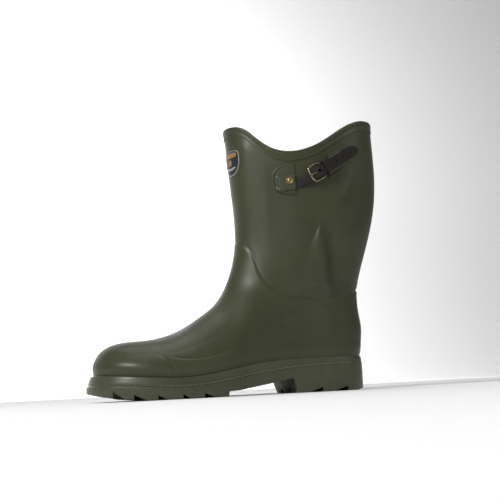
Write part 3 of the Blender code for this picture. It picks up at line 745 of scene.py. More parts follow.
def rubber_material(name, colour, gloss, scuffed):
    """Moulded rubber: satin, softly mottled, with fine pores and rubbed patches."""
    material, tree, shader = new_material(name)
    mottle = between(tree, noise(tree, 22.0, 4.0), 0.35, 0.65, 0.0, 1.0)
    base = blend(tree, mottle, shade(colour, 0.9), shade(colour, 1.1))
    dust = between(tree, noise(tree, 70.0, 6.0, 0.7, (1.0, 1.0, 0.5)), 0.56, 0.78, 0.0, scuffed)
    pale = tuple(0.72 * c + 0.06 for c in colour)
    tree.links.new(blend(tree, dust, base, pale), shader.inputs["Base Color"])
    spread = 0.05 + 0.3 * scuffed
    rough = between(tree, noise(tree, 38.0, 5.0, 0.6), 0.3, 0.7, gloss - spread, gloss + spread)
    tree.links.new(rough, shader.inputs["Roughness"])
    shader.inputs["Specular IOR Level"].default_value = 0.34
    shader.inputs["Coat Weight"].default_value = 0.04
    shader.inputs["Coat Roughness"].default_value = 0.28
    grain = noise(tree, 1500.0, 2.0)
    ripple = noise(tree, 160.0, 3.0)
    bumps(tree, shader, (ripple, 0.12, 0.0006), (grain, 0.1, 0.0002))
    return material


def fleece_material(name, colour):
    """Short undyed pile: curly clumps, matt with a soft sheen."""
    material, tree, shader = new_material(name)
    clump = between(tree, noise(tree, 160.0, 4.0), 0.35, 0.65, 0.0, 1.0)
    tree.links.new(blend(tree, clump, shade(colour, 0.72), shade(colour, 1.12)), shader.inputs["Base Color"])
    shader.inputs["Roughness"].default_value = 0.95
    shader.inputs["Sheen Weight"].default_value = 0.35
    shader.inputs["Sheen Roughness"].default_value = 0.6
    bumps(tree, shader, (cells(tree, 420.0), 0.6, 0.0012), (noise(tree, 900.0, 4.0), 0.5, 0.0006))
    return material


def leather_material(name, colour):
    """Dark oiled leather with a fine grain and rubbed lighter places."""
    material, tree, shader = new_material(name)
    worn = between(tree, noise(tree, 240.0, 5.0, 0.65), 0.5, 0.72, 0.0, 0.55)
    tree.links.new(blend(tree, worn, colour, shade(colour, 1.7)), shader.inputs["Base Color"])
    rough = between(tree, noise(tree, 300.0, 3.0), 0.3, 0.7, 0.46, 0.64)
    shader.inputs["Specular IOR Level"].default_value = 0.35
    tree.links.new(rough, shader.inputs["Roughness"])
    bumps(tree, shader, (cells(tree, 1400.0), 0.35, 0.0003), (noise(tree, 500.0, 3.0), 0.2, 0.0004))
    return material


def metal_material(name, colour, gloss):
    """Worn polished metal with hairline scratches."""
    material, tree, shader = new_material(name)
    tarnish = between(tree, noise(tree, 420.0, 5.0), 0.45, 0.75, 0.0, 0.6)
    tree.links.new(blend(tree, tarnish, colour, shade(colour, 0.55)), shader.inputs["Base Color"])
    shader.inputs["Metallic"].default_value = 1.0
    rough = between(tree, noise(tree, 900.0, 3.0), 0.3, 0.7, gloss - 0.05, gloss + 0.1)
    tree.links.new(rough, shader.inputs["Roughness"])
    bumps(tree, shader, (noise(tree, 700.0, 2.0, 0.5, (1.0, 1.0, 8.0)), 0.08, 0.0002))
    return material


def print_material(name, colour):
    """Flexible print on rubber, slightly cracked."""
    material, tree, shader = new_material(name)
    wear = between(tree, noise(tree, 900.0, 5.0, 0.7), 0.58, 0.75, 0.0, 0.5)
    tree.links.new(blend(tree, wear, colour, shade(colour, 0.6)), shader.inputs["Base Color"])
    shader.inputs["Roughness"].default_value = 0.45
    bumps(tree, shader, (noise(tree, 1600.0, 3.0), 0.1, 0.0002))
    return material


# Places on the shaft
def on_shaft(x, z, height):
    """Points at a height over the finished outer side of the shaft."""
    y = edges(x, z)[0]
    step = 0.5
    slope_x = (edges(x + step, z)[0] - edges(x - step, z)[0]) / (2 * step)
    slope_z = (edges(x, z + step)[0] - edges(x, z - step)[0]) / (2 * step)
    normal = unit(np.stack([slope_x, -np.ones_like(y), slope_z], -1))
    base = np.stack([x, y, z], -1)
    return base + normal * (relief(base) + height)[..., None]


def along_strap(s, w):
    """Side-view place of a point s along the strap's slope and w across it."""
    x = BAR_AT[0] + s * math.cos(STRAP_SLOPE) - w * math.sin(STRAP_SLOPE)
    z = BAR_AT[1] + s * math.sin(STRAP_SLOPE) + w * math.cos(STRAP_SLOPE)
    return x, z


def across_strap(x, z):
    """The opposite of along_strap: s and w of a side-view place."""
    dx, dz = x - BAR_AT[0], z - BAR_AT[1]
    s = dx * math.cos(STRAP_SLOPE) + dz * math.sin(STRAP_SLOPE)
    return s, dz * math.cos(STRAP_SLOPE) - dx * math.sin(STRAP_SLOPE)


def strap_line(x):
    """Level of the long strap's middle, and its height over the shaft."""
    return spline(STRAP, STRAP_COLUMNS, "z", x), spline(STRAP, STRAP_COLUMNS, "height", x)


def over_strap(off):
    """How far a strap under a patch lifts it, at a distance from the strap's middle."""
    beside = 1 - eased(np.abs(off), STRAP_WIDTH / 2 + 0.6, STRAP_WIDTH / 2 + 3.4)
    return (STRAP_THICKNESS + 0.5) * beside


def front_lift(x, z):
    """How far the long strap lifts the front patch."""
    return over_strap(z - strap_line(x)[0]) * eased(x, 53.5, 58.0)


def rear_lift(x, z):
    """How far the short strap lifts the rear patch."""
    s, w = across_strap(x, z)
    return over_strap(w) * (1 - eased(s, 30.0, 35.0))


def front_place(arc, z, height):
    """A point at an arc distance from the middle of the shaft's front, inner side positive."""
    ahead = float(np.interp(z, FRONT_LINE[:, 1], FRONT_LINE[:, 0]))
    count = 160
    x = ahead + 60.0 * np.linspace(0.0, 1.0, count) ** 2
    outer, inner = edges(x, np.full(count, z))
    outer[0] = inner[0] = foot("ridge", ahead)
    line = np.concatenate([np.stack([x, outer], 1)[::-1], np.stack([x, inner], 1)[1:]])
    done = travelled(line)
    done -= done[count - 1]
    place, beside = (np.array([np.interp(at, done, side) for side in line.T]) for at in (arc, arc + 1.0))
    run = unit(beside - place)
    out = np.array([-run[1], run[0]])
    lift = float(relief(np.array([*place, z])))
    return np.array([*(place + out * (height + lift)), z])


# Pieces
UPPER_ROWS = 215
UPPER_HALF = 190
LINING_ROWS = 150
LINING_HALF = 110
RUBBER_WALL = 3.6
WALL = 7.0


def spread(rows, count):
    """Numbers of some rows, evenly spread from the top one down."""
    return np.linspace(rows - 1, 0, count).round().astype(int)


def make_upper(materials):
    """The rubber shell, with its folds and seams in the mesh."""
    plain = skin(UPPER_ROWS, UPPER_HALF)
    normals = grid_normals(plain)
    outside = plain + normals * relief(plain)[..., None]
    inside = (plain - normals * RUBBER_WALL)[spread(UPPER_ROWS, 14)]
    outside[0, :, 2] = np.maximum(outside[0, :, 2], foot("feather", outside[0, :, 0]))
    inside[-1, :, 2] = outside[0, :, 2]
    shell = closed_surface(np.concatenate([outside, inside]), "upper_shell")
    finish_piece(shell, materials["rubber"], "upper_rubber", "upper")


def make_lining(materials, props):
    """The fleece inside: a thick mat with a clumpy face, and its tufts."""
    plain = skin(LINING_ROWS, LINING_HALF)
    normals = grid_normals(plain)
    face = plain - normals * (WALL - 0.6)
    back = (plain - normals * (RUBBER_WALL + 0.6))[spread(LINING_ROWS, 10)]
    lining = closed_surface(np.concatenate([face, back]), "fleece_lining")
    texture = bpy.data.textures.new("pile_clumps", "CLOUDS")
    texture.noise_scale = 0.0045
    texture.noise_depth = 2
    apply(lining, "DISPLACE", texture=texture, strength=0.0014, mid_level=0.5, texture_coords="LOCAL")
    finish_piece(lining, materials["fleece"], "fleece", angle=180.0)
    make_tufts(face, normals, props.tufts, materials["fleece"])


def make_tufts(face, normals, count, material):
    """Small curled tufts on the lining, two thirds of them near the collar."""
    rng = np.random.default_rng(7)
    share = np.concatenate([rng.uniform(0.72, 0.985, count * 2 // 3), rng.uniform(0.05, 0.74, count // 3)])
    row = np.clip((share * (LINING_ROWS - 1)).astype(int), 0, LINING_ROWS - 2)
    column = rng.integers(0, 2 * LINING_HALF, len(share))
    nudge = rng.uniform(0.0, 1.0, (len(share), 2, 1))
    root = face[row, column] * (1 - nudge[:, 0]) + face[row + 1, column] * nudge[:, 0]
    beside = face[row, (column + 1) % (2 * LINING_HALF)] - face[row, column]
    root = root + beside * nudge[:, 1] + normals[row, column] * 0.5
    lean = rng.normal(0.0, 1.0, (len(share), 3))
    lean[:, 2] -= 0.6
    grow = unit(-normals[row, column] * 1.6 + lean * 0.75) * rng.uniform(1.5, 3.0, (len(share), 1))
    side = unit(np.cross(grow, rng.normal(0.0, 1.0, grow.shape)))
    over = unit(np.cross(side, grow))
    curl = rng.normal(0.0, 0.55, grow.shape)
    points = []
    for step, wide in ((0.0, 0.3), (0.55, 0.22)):
        middle = root + grow * step + curl * step**2
        for turn in (0.0, 2.1, 4.2):
            points.append(middle + wide * (math.cos(turn) * side + math.sin(turn) * over))
    points.append(root + grow + curl)
    points = np.stack(points, 1)
    quads = [(0, 1, 4, 3), (1, 2, 5, 4), (2, 0, 3, 5)]
    tips = [(3, 4, 6), (4, 5, 6), (5, 3, 6), (2, 1, 0)]
    faces = [tuple(7 * i + k for k in f) for i in range(len(points)) for f in quads + tips]
    tufts = mesh_of(points.reshape(-1, 3), faces, "fleece_tufts")
    finish_piece(tufts, material, "fleece", angle=180.0)


def make_insole(materials):
    """The bed of the foot, a welded copy of the CAD node with a clumpy face."""
    insole = bpy.data.objects.new("insole_bed", frame["nodes"]["insole"].data.copy())
    insole.data.name = "insole_bed"
    bpy.context.scene.collection.objects.link(insole)
    edit(insole, weld, face_out)
    apply(insole, "SUBSURF", subdivision_type="SIMPLE", levels=3, render_levels=3)
    texture = bpy.data.textures["pile_clumps"]
    apply(insole, "DISPLACE", texture=texture, strength=0.0008, mid_level=0.9, texture_coords="LOCAL")
    finish_piece(insole, materials["fleece"], "fleece", "insole")


def make_collar(materials):
    """The rolled binding over the rim, with a fine groove round it."""
    outside = skin(150, 150)
    normals = grid_normals(outside)
    inside = outside - normals * WALL
    outer = (
        (0.35, -9.2), (0.6, -9.4), (0.9, -9.2), (1.0, -8.7), (0.9, -8.0),
        (0.95, -5.2), (0.85, -4.6), (0.5, -4.2), (0.55, -3.8), (1.0, -3.4),
        (1.2, -2.8), (1.25, -0.9), (1.3, 0.1), (1.1, 0.9), (0.6, 1.5), (-0.2, 1.8),
    )
    inner = (
        (-0.2, 1.8), (0.7, 1.5), (1.25, 0.9), (1.5, 0.1), (1.5, -7.6), (1.2, -8.1),
        (0.5, -8.2), (0.4, -7.6), (0.4, 0.4),
    )
    loops = []
    for face, side, leg in ((outside, 1, outer), (inside, -1, inner)):
        down = unit(face[-4] - face[-1])
        loops += [face[-1] + side * normals[-1] * out - down * up for out, up in leg]
    down = unit(outside[-4] - outside[-1])
    loops.append(outside[-1] + normals[-1] * 0.3 - down * 0.4)
    band = closed_surface(np.array(loops), "collar_band")
    finish_piece(band, materials["rubber"], "upper_rubber", "collar_binding", angle=60.0)


def underside(x):
    """Level of the bottom of the tread."""
    level = np.interp(x, [row[0] for row in UNDERSIDE], [row[1] for row in UNDERSIDE])
    spring = np.clip((-95.0 - x) / 61.0, 0.0, 1.2)
    return level + TOE_SPRING * spring**1.6


def sole_stations():
    """Where the sole's sections stand, closest at the ends and at the tread's steps."""
    toe = TOE_X + (1 - np.cos(np.linspace(0.0, np.pi / 2, 26))) * 46.0
    heel = HEEL_X - (1 - np.cos(np.linspace(0.0, np.pi / 2, 16)))[::-1] * 21.0
    middle = np.arange(toe[-1] + 2.0, heel[0] - 1.0, 2.6)
    kept = np.array([x for x, _ in UNDERSIDE[:8]])
    middle = middle[np.abs(middle[:, None] - kept).min(1) > 1.0]
    return np.concatenate([toe, np.sort(np.concatenate([middle, kept])), heel])


def sole_edge(x):
    """The sole's top edge, outward direction and reach, for the outer and inner sides."""
    both = []
    for y, side in zip(edges(x, foot("feather", x) + 1e-6), (-1, 1)):
        y[0] = foot("ridge", x[0])
        y[-1] = foot("ridge", x[-1])
        out = unit(np.stack([-side * np.gradient(y), side * np.gradient(x)], 1))
        out[0] = (-1.0, 0.0)
        out[-1] = (1.0, 0.0)
        proud = spline(EDGE, EDGE_COLUMNS, "proud", x)
        both.append((np.stack([x, y], 1), out * proud[:, None]))
    return both


def stitch_drop(x):
    """Level of the sole's top, and drop from there to the stitch line."""
    return foot("feather", x) - SOLE_GAP, spline(EDGE, EDGE_COLUMNS, "drop", x)


# The sole's side from its top to the stitch line. Columns: share of its reach,
# share of the drop.
SIDE = (
    (-0.5, -0.06), (0.0, 0.0), (0.2, 0.01), (0.33, 0.05), (0.41, 0.13), (0.5, 0.32),
    (0.62, 0.6), (0.73, 0.82), (0.74, 0.9), (0.71, 0.95), (0.71, 1.02), (0.77, 1.08),
    (0.92, 1.13), (0.99, 1.18), (1.0, 1.27),
)


def make_outsole(materials):
    """The sole: lip, stitch groove, straight side and lugs cut from the tread."""
    x = sole_stations()
    top, drop = stitch_drop(x)
    low = underside(x)
    columns = []
    sides = sole_edge(x)
    for (plan, reach), reverse in zip(sides, (False, True)):
        line = [np.column_stack([plan + reach * u, top - drop * t]) for u, t in SIDE]
        line.append(np.column_stack([plan + reach, low + 0.9]))
        line.append(np.column_stack([plan + reach * 0.96, low + 0.3]))
        line.append(np.column_stack([plan + reach * 0.84, low]))
        columns += line[::-1] if reverse else line
    columns.append(columns[0])
    sole = sheet_of(np.stack(columns, 1), "outsole_tread")
    edit(sole, weld, face_out)
    wide = [plan + reach for plan, reach in sides]
    for cutter in tread_cutters(*wide):
        cut(sole, cutter)
    edit(sole, weld)
    soften(sole, 0.5, 42.0)
    finish_piece(sole, materials["sole"], "sole_rubber", "outsole", angle=35.0)


def block(name, low, high):
    """A box primitive whose corners are moved to four low and four high places."""
    bpy.ops.object.select_all(action="DESELECT")
    bpy.ops.mesh.primitive_cube_add(size=1.0)
    obj = bpy.context.object
    obj.name = name
    order = ((0, 0), (1, 0), (0, 3), (1, 3), (0, 1), (1, 1), (0, 2), (1, 2))
    rows = (low, high)
    for vertex, (level, corner) in zip(obj.data.vertices, order):
        vertex.co = (np.array(rows[level][corner]) + PLACE) / MM
    edit(obj, face_out)
    return obj


def upright(name, loop, top):
    """A block from below the tread up to a level that may differ by corner."""
    low = [(x, y, BELOW_TREAD) for x, y in loop]
    return block(name, low, [(x, y, z) for (x, y), z in zip(loop, top)])


def tread_cutters(lateral, medial):
    """Notches at both edges, two channels along the ball, and cross grooves."""
    for side, plan, shift in ((-1, lateral, 0.0), (1, medial, 3.0)):
        for steep, runs_out in NOTCHES:
            a = steep + shift
            b = runs_out + shift
            outer = np.interp((a + b) / 2, plan[:, 0], plan[:, 1]) + side * 12.0
            inner = outer - side * (12.0 + NOTCH_REACH)
            high = float(underside(np.array(a))) + LUG_DEPTH
            thin = float(underside(np.array(b))) - 0.4
            loop = ((a, outer), (b, outer), (b, inner), (a, inner))
            yield upright("notch", loop, (high, thin, thin, high))
    middles = []
    for side, plan in ((-1, lateral), (1, medial)):
        x = np.linspace(-121.0, -9.0, 30)
        y = np.interp(x, plan[:, 0], plan[:, 1]) - side * (NOTCH_REACH + 1.0)
        middles.append((x, y))
        top = underside(np.minimum(x, -14.6)) + LUG_DEPTH - 0.7
        high = np.stack([np.stack([x, y - 2.0, top], 1), np.stack([x, y + 2.0, top], 1)], 1)
        low = high.copy()
        low[:, :, 2] = BELOW_TREAD
        yield slab_of(low, high, "channel")
    for side in (-1, 1):
        y = side * 13.0
        loop = ((58.0, y - 2.0), (134.0, y - 2.0), (134.0, y + 2.0), (58.0, y + 2.0))
        yield upright("heel_channel", loop, [LUG_DEPTH - 0.7] * 4)
    for x in CROSS_GROOVES:
        top = float(underside(np.array(x))) + LUG_DEPTH - 1.4
        ends = [-13.0, 13.0]
        if x < 0:
            ends = [float(np.interp(x, *middle)) for middle in middles]
        loop = ((x - 2.5, ends[0]), (x + 2.5, ends[0]), (x + 2.5, ends[1]), (x - 2.5, ends[1]))
        yield upright("cross_groove", loop, [top] * 4)


def make_stitches(materials, props):
    """The moulded stitch line round the sole: slanted beads in the groove."""
    bpy.ops.object.select_all(action="DESELECT")
    bpy.ops.mesh.primitive_uv_sphere_add(segments=8, ring_count=6, radius=1.0)
    bead = bpy.context.object
    ball = np.array([v.co for v in bead.data.vertices])
    faces = [tuple(p.vertices) for p in bead.data.polygons]
    bpy.data.objects.remove(bead, do_unlink=True)
    points = []
    polygons = []
    x = sole_stations()
    top, drop = stitch_drop(x)
    for (plan, reach), side in zip(sole_edge(x), (-1, 1)):
        line = np.column_stack([plan + reach * 0.84, top - drop * 0.99])
        count = int(travelled(line)[-1] / props.stitch_pitch)
        path = evenly(line, count + 1)
        for i in range(1, count):
            size = eased(path[i, 0], -139.0, -118.0) * (1 - eased(path[i, 0], 126.0, 146.0))
            if size < 0.15:
                continue
            ahead = unit(path[i + 1] - path[i - 1])
            out = unit(np.array([-side * ahead[1], side * ahead[0], 0.0]))
            up = np.cross(ahead, out)
            slant = ahead * 0.86 + up * 0.5 * np.sign(up[2])
            other = np.cross(slant, out)
            local = ball * np.array([1.3, 0.95, 0.75]) * size
            turned = local[:, :1] * slant + local[:, 1:2] * out + local[:, 2:] * other
            base = len(points) * len(ball)
            points.append(path[i] + turned)
            polygons += [tuple(base + k for k in f) for f in faces]
    stitches = mesh_of(np.concatenate(points), polygons, "stitch_line")
    finish_piece(stitches, materials["stitch"], "sole_rubber")


def make_patches(materials):
    """The two rubber patches with a raised bead round their curved edge."""
    for name, node, shape, lift in (
        ("front_patch_rubber", "front_patch", FRONT_PATCH, front_lift),
        ("rear_patch_rubber", "rear_patch", REAR_PATCH, rear_lift),
    ):
        edge, reach, half, slope = shape
        share = np.sin(np.linspace(0.0, np.pi / 2, 48))
        tall = half * (1 - share**PATCH_ROUND) ** (1 / PATCH_ROUND)
        tall[-1] = 0.02
        up = across_half(61)
        along = np.repeat(share[:, None], len(up), 1)
        rise = tall[:, None] * up
        gx = edge[0] + reach * along
        gz = edge[1] + reach * along * slope + rise
        out = along**PATCH_ROUND + np.abs(rise / half) ** PATCH_ROUND
        margin = (1 - out ** (1 / PATCH_ROUND)) * half
        bead = 0.55 * ridge_of(margin - 1.7, 0.75) - 0.3 * ridge_of(margin - 3.4, 0.8)
        edge_round = -1.1 * (1 - eased(margin, -0.2, 1.2))
        under = 0.12 + lift(gx, gz)
        high = on_shaft(gx, gz, under + PATCH_THICKNESS + bead + edge_round)
        patch = slab_of(on_shaft(gx, gz, under), high, name)
        finish_piece(patch, materials["rubber"], "upper_rubber", node, angle=50.0)


def across_half(count):
    """Shares of a half width from edge to edge, closest at the edges."""
    return np.sin(np.linspace(-np.pi / 2, np.pi / 2, count))


def slot_cutter(name, ends, half, low):
    """A block over the strap's slope, between two places along it."""
    s = np.array([ends[0], ends[1], ends[1], ends[0]])
    x, z = along_strap(s, np.array([-half, -half, half, half]))
    return block(name, on_shaft(x, z, low), on_shaft(x, z, 12.0))


def make_long_strap(materials):
    """The pointed strap, crowned a little, with the prong's slot and three holes."""
    x = np.concatenate([np.linspace(61.0, STRAP_POINT_X, 100), np.linspace(139.5, 145.5, 16)])
    z, height = strap_line(x)
    point = np.clip((x - STRAP_POINT_X) / (x[-1] - STRAP_POINT_X), 0.0, 1.0)
    half = STRAP_WIDTH / 2 * (1 - 0.86 * point**1.25)
    run = unit(np.stack([np.gradient(x), np.gradient(z)], 1))
    across = across_half(13)
    gx = x[:, None] - run[:, 1:] * half[:, None] * across
    gz = z[:, None] + run[:, :1] * half[:, None] * across
    low = on_shaft(gx, gz, height[:, None] + 0.2 * across**6)
    high = on_shaft(gx, gz, height[:, None] + STRAP_THICKNESS - 0.35 * across**4)
    strap = slab_of(low, high, "long_strap")
    cut(strap, slot_cutter("prong_slot", (-12.5, -3.0), 1.3, 0.5))
    for place in STRAP_HOLES:
        hx, _ = along_strap(np.array([place]), -0.2)
        hz = strap_line(hx)[0]
        cut(strap, rod("punched_hole", on_shaft(hx, hz, 3.0)[0], on_shaft(hx, hz, 16.0)[0], 1.15))
    soften(strap, 0.3, 50.0)
    finish_piece(strap, materials["leather"], "strap_leather", "buckle_strap")


def square_to(axis):
    """Two directions at right angles to an axis."""
    side = unit(np.cross(axis, (0.0, 0.0, 1.0)))
    return side, np.cross(axis, side)


def rod(name, start, end, radius):
    """A cylinder primitive between two places."""
    middle = (start + end) / 2
    ahead = unit(end - start)
    side, over = square_to(ahead)
    bpy.ops.object.select_all(action="DESELECT")
    bpy.ops.mesh.primitive_cylinder_add(vertices=20, radius=radius, depth=np.linalg.norm(end - start))
    obj = bpy.context.object
    obj.name = name
    for vertex in obj.data.vertices:
        local = np.array(vertex.co)
        vertex.co = (middle + side * local[0] + over * local[1] + ahead * local[2] + PLACE) / MM
    edit(obj, face_out)
    return obj


def make_short_strap(materials):
    """The short strap folded round the buckle's bar, its slot open for the prong."""
    middle = WIRE / 2 + BAR_ROOM + CHAPE_THICKNESS / 2
    turn = np.linspace(-np.pi / 2, np.pi / 2, 17)
    line = [(s, BAR_HEIGHT - middle) for s in np.linspace(26.5, 1.5, 22)]
    line += [(-middle * math.cos(a), BAR_HEIGHT + middle * math.sin(a)) for a in turn]
    line += [(s, BAR_HEIGHT + middle) for s in np.linspace(1.5, 8.0, 8)]
    run = unit(np.gradient(np.array(line), axis=0))
    normal = np.stack([-run[:, 1], run[:, 0]], 1)
    across = across_half(11) * (STRAP_WIDTH - 0.6) / 2
    grids = []
    for side in (-1, 1):
        place = np.array(line) + normal * side * CHAPE_THICKNESS / 2
        x, z = along_strap(place[:, :1], across)
        grids.append(on_shaft(x, z, place[:, 1:]))
    chape = slab_of(*grids, "short_strap")
    cut(chape, slot_cutter("chape_slot", (-6.0, 2.2), 1.7, 1.9))
    soften(chape, 0.3, 50.0)
    finish_piece(chape, materials["leather"], "strap_leather", "buckle_chape")


def wire(name, s, w, height, radius, closed):
    """A round wire, as a bevelled curve made into a mesh."""
    x, z = along_strap(s, w)
    places = (on_shaft(x, z, height) + PLACE) / MM
    curve = bpy.data.curves.new(name, "CURVE")
    curve.dimensions = "3D"
    curve.bevel_depth = radius / MM
    curve.bevel_resolution = 5
    curve.use_fill_caps = True
    line = curve.splines.new("POLY")
    line.points.add(len(places) - 1)
    for point, place in zip(line.points, places):
        point.co = (*place, 1.0)
    line.use_cyclic_u = closed
    obj = bpy.data.objects.new(name, curve)
    bpy.context.scene.collection.objects.link(obj)
    pick(obj)
    bpy.ops.object.convert(target="MESH")
    return bpy.context.object


def squared(turn, power):
    """A circle's two coordinates, pressed outwards to a rounded square."""
    return (np.sign(f(turn)) * np.abs(f(turn)) ** power for f in (np.cos, np.sin))


# The prong. Columns: share of its length, place along the strap's slope, height.
PRONG = (
    (0.0, 0.6, BAR_HEIGHT + 0.4),
    (0.25, -4.0, BAR_HEIGHT + 1.7),
    (0.6, -10.0, 6.9),
    (1.0, -16.2, 8.5),
)


def make_buckle(materials):
    """The wire frame, its bar and the prong that lies over the frame's far side."""
    radius = WIRE / 2
    turn = np.append(np.linspace(0.0, 2 * np.pi, 121)[:-1], 0.0)
    c, w = squared(turn, 0.45)
    s = -7.2 + np.where(c > 0, 7.9, 8.2) * c
    even = evenly(np.column_stack([s, 8.8 * w]), 97)[:-1]
    height = np.interp(even[:, 0], [-15.4, -8.0, 0.7], [7.0, 5.6, BAR_HEIGHT])
    pieces = [wire("buckle_frame", even[:, 0], even[:, 1], height, radius, True)]
    pieces.append(wire("bar", 0.0, np.linspace(-7.4, 7.4, 9), BAR_HEIGHT, radius * 0.9, False))
    share, reach, rise = np.array(PRONG).T
    at = np.linspace(0.0, 1.0, 24)
    rise = spline(tuple(zip(share, rise)), ("share", "rise"), "rise", at)
    pieces.append(wire("prong", np.interp(at, share, reach), 0.0, rise, 0.85, False))
    bpy.ops.object.select_all(action="DESELECT")
    for piece in pieces:
        piece.select_set(True)
    bpy.context.view_layer.objects.active = pieces[0]
    bpy.ops.object.join()
    buckle = bpy.context.object
    edit(buckle, weld, face_out)
    finish_piece(buckle, materials["frame"], "buckle_metal", "buckle")


def make_keeper(materials):
    """A leather loop round both straps."""
    half = STRAP_WIDTH / 2 + 1.1
    low, high = 3.5, 10.1
    turn = np.linspace(0.0, 2 * np.pi, 65)[:-1]
    w = half * list(squared(turn, 0.25))[0]
    h = (low + high) / 2 + (high - low) / 2 * list(squared(turn, 0.3))[1]
    section = (
        (2.5, -0.42), (2.7, -0.5), (5.5, -0.5), (5.7, -0.42),
        (5.7, 0.42), (5.5, 0.55), (2.7, 0.55), (2.5, 0.42),
    )
    loops = []
    for along, out in section:
        x, z = along_strap(along, w + out * np.cos(turn))
        loops.append(on_shaft(x, z, h + out * np.sin(turn)))
    keeper = closed_surface(np.array(loops), "keeper_loop")
    finish_piece(keeper, materials["leather"], "strap_leather", "keeper")


def make_rivet(materials):
    """A turned rivet: a rolled rim round a domed head."""
    x, z = np.array([RIVET_AT[0]]), np.array([RIVET_AT[1]])
    base = 0.35 + PATCH_THICKNESS + float(front_lift(x, z)[0])
    centre = on_shaft(x, z, base)[0]
    axis = on_shaft(x, z, base + 1.0)[0] - centre
    side, over = square_to(axis)
    profile = (
        (0.0, 0.0), (3.6, 0.0), (3.95, 0.2), (4.05, 0.55), (3.9, 0.95), (3.5, 1.15),
        (3.05, 1.05), (2.75, 0.8), (2.5, 0.95), (2.2, 1.45), (1.6, 1.85), (0.8, 2.05), (0.0, 2.1),
    )
    turn = np.linspace(0.0, 2 * np.pi, 49)
    rows = []
    for wide, rise in profile:
        spin = np.cos(turn)[:, None] * side - np.sin(turn)[:, None] * over
        rows.append(centre + axis * rise + wide * spin)
    rivet = sheet_of(np.array(rows), "brass_rivet")
    edit(rivet, weld, face_out)
    apply(rivet, "SUBSURF", levels=1, render_levels=1)
    finish_piece(rivet, materials["brass"], "buckle_metal", "rivet")


# The badge's middle: arc round the shaft's front, and level.
BADGE_CENTRE = (-7.0, 261.0)


def badge_piece(name, outline, up, thick, base, material):
    """A thin plate on the shaft's front. The outline gives (across, up) for an angle."""
    turn = np.linspace(0.0, 2 * np.pi, 97)[:-1]
    edge = np.array([outline(a) for a in turn])
    middle = edge.mean(0)
    rows = []
    high = base + thick
    for share, height in ((1.0, base), (1.0, high - thick * 0.3), (0.97, high), (0.6, high), (0.0, high)):
        place = middle + (edge - middle) * share
        rows.append([front_place(BADGE_CENTRE[0] + a, BADGE_CENTRE[1] + up + u, height) for a, u in place])
    rows = np.array(rows)
    rows = np.concatenate([rows, rows[:, :1]], 1)
    under = np.repeat(rows[:1].mean(1, keepdims=True), rows.shape[1], 1)
    plate = sheet_of(np.concatenate([under, rows]), name)
    edit(plate, weld, face_out)
    finish_piece(plate, material, "upper_rubber")


def shield(width, height):
    """A plain shield: flat top, sides that curve to a point."""
    def outline(angle):
        c, s = math.cos(angle), math.sin(angle)
        if s >= 0:
            top = abs(s) ** 0.35
            return (width * math.copysign(abs(c) ** 0.35, c), height * 0.62 * top)
        return (width * math.copysign(abs(c) ** 0.8, c), -height * abs(s) ** 1.05)
    return outline


def disc(radius):
    """A round spot."""
    return lambda angle: (radius * math.cos(angle), radius * math.sin(angle))


def bar_shape(wide, tall, sag):
    """A band with rounded ends that dips in the middle."""
    def outline(angle):
        c, s = math.cos(angle), math.sin(angle)
        a = wide * math.copysign(abs(c) ** 0.3, c)
        return a, tall * math.copysign(abs(s) ** 0.4, s) - sag * (1 - (a / wide) ** 2)
    return outline


def make_badge(materials):
    """A plain shield on the front of the shaft: pale edge, dark field, gold marks."""
    for name, outline, up, thick, base, colour in (
        ("badge_edge", shield(15.5, 17.0), 0.0, 0.5, 0.05, "cream"),
        ("badge_field", shield(14.7, 16.0), 0.0, 0.25, 0.5, "navy"),
        ("badge_top", bar_shape(12.0, 2.6, 0.0), 5.6, 0.25, 0.7, "gold"),
        ("badge_dot", disc(3.4), -2.6, 0.25, 0.7, "gold"),
        ("badge_band", bar_shape(9.0, 1.1, 1.6), -8.4, 0.25, 0.7, "cream"),
    ):
        badge_piece(name, outline, up, thick, base, materials[colour])


# Stage
# The floor, in metres: front edge, where it starts to curve up, radius, top, width.
FLOOR_FRONT = -3.2
FLOOR_END = 2.0
CURVE = 0.8
BACKDROP_TOP = 3.0
FLOOR_WIDTH = 8.0


def make_stage():
    """A pale floor that curves up into a backdrop."""
    rows = [(FLOOR_FRONT, 0.0), (FLOOR_END, 0.0)]
    for a in np.linspace(0.0, math.pi / 2, 12)[1:]:
        rows.append((FLOOR_END + CURVE * math.sin(a), CURVE - CURVE * math.cos(a)))
    rows.append((FLOOR_END + CURVE, BACKDROP_TOP))
    bpy.ops.object.select_all(action="DESELECT")
    bpy.ops.mesh.primitive_grid_add(x_subdivisions=1, y_subdivisions=len(rows) - 1, size=1.0)
    floor = bpy.context.object
    floor.name = "studio_floor"
    count = len(floor.data.vertices) // len(rows)
    for i, vertex in enumerate(floor.data.vertices):
        y, z = rows[i // count]
        share = (i % count) / (count - 1)
        vertex.co = ((share - 0.5) * FLOOR_WIDTH, y, z - 0.0002)
    bpy.ops.object.shade_smooth()
    material, _, shader = new_material("studio_white")
    shader.inputs["Base Color"].default_value = (0.9, 0.9, 0.9, 1.0)
    shader.inputs["Roughness"].default_value = 0.9
    shader.inputs["Specular IOR Level"].default_value = 0.1
    floor.data.materials.append(material)


def area_light(name, place, target, size, tall, power):
    """A soft light at a place, aimed at a target. Sizes are in metres."""
    data = bpy.data.lights.new(name, "AREA")
    data.shape = "RECTANGLE"
    data.size = size
    data.size_y = tall
    data.energy = power
    light = bpy.data.objects.new(name, data)
    bpy.context.scene.collection.objects.link(light)
    light.location = place
    aim = Vector(target) - Vector(place)
    light.rotation_euler = aim.to_track_quat("-Z", "Y").to_euler()


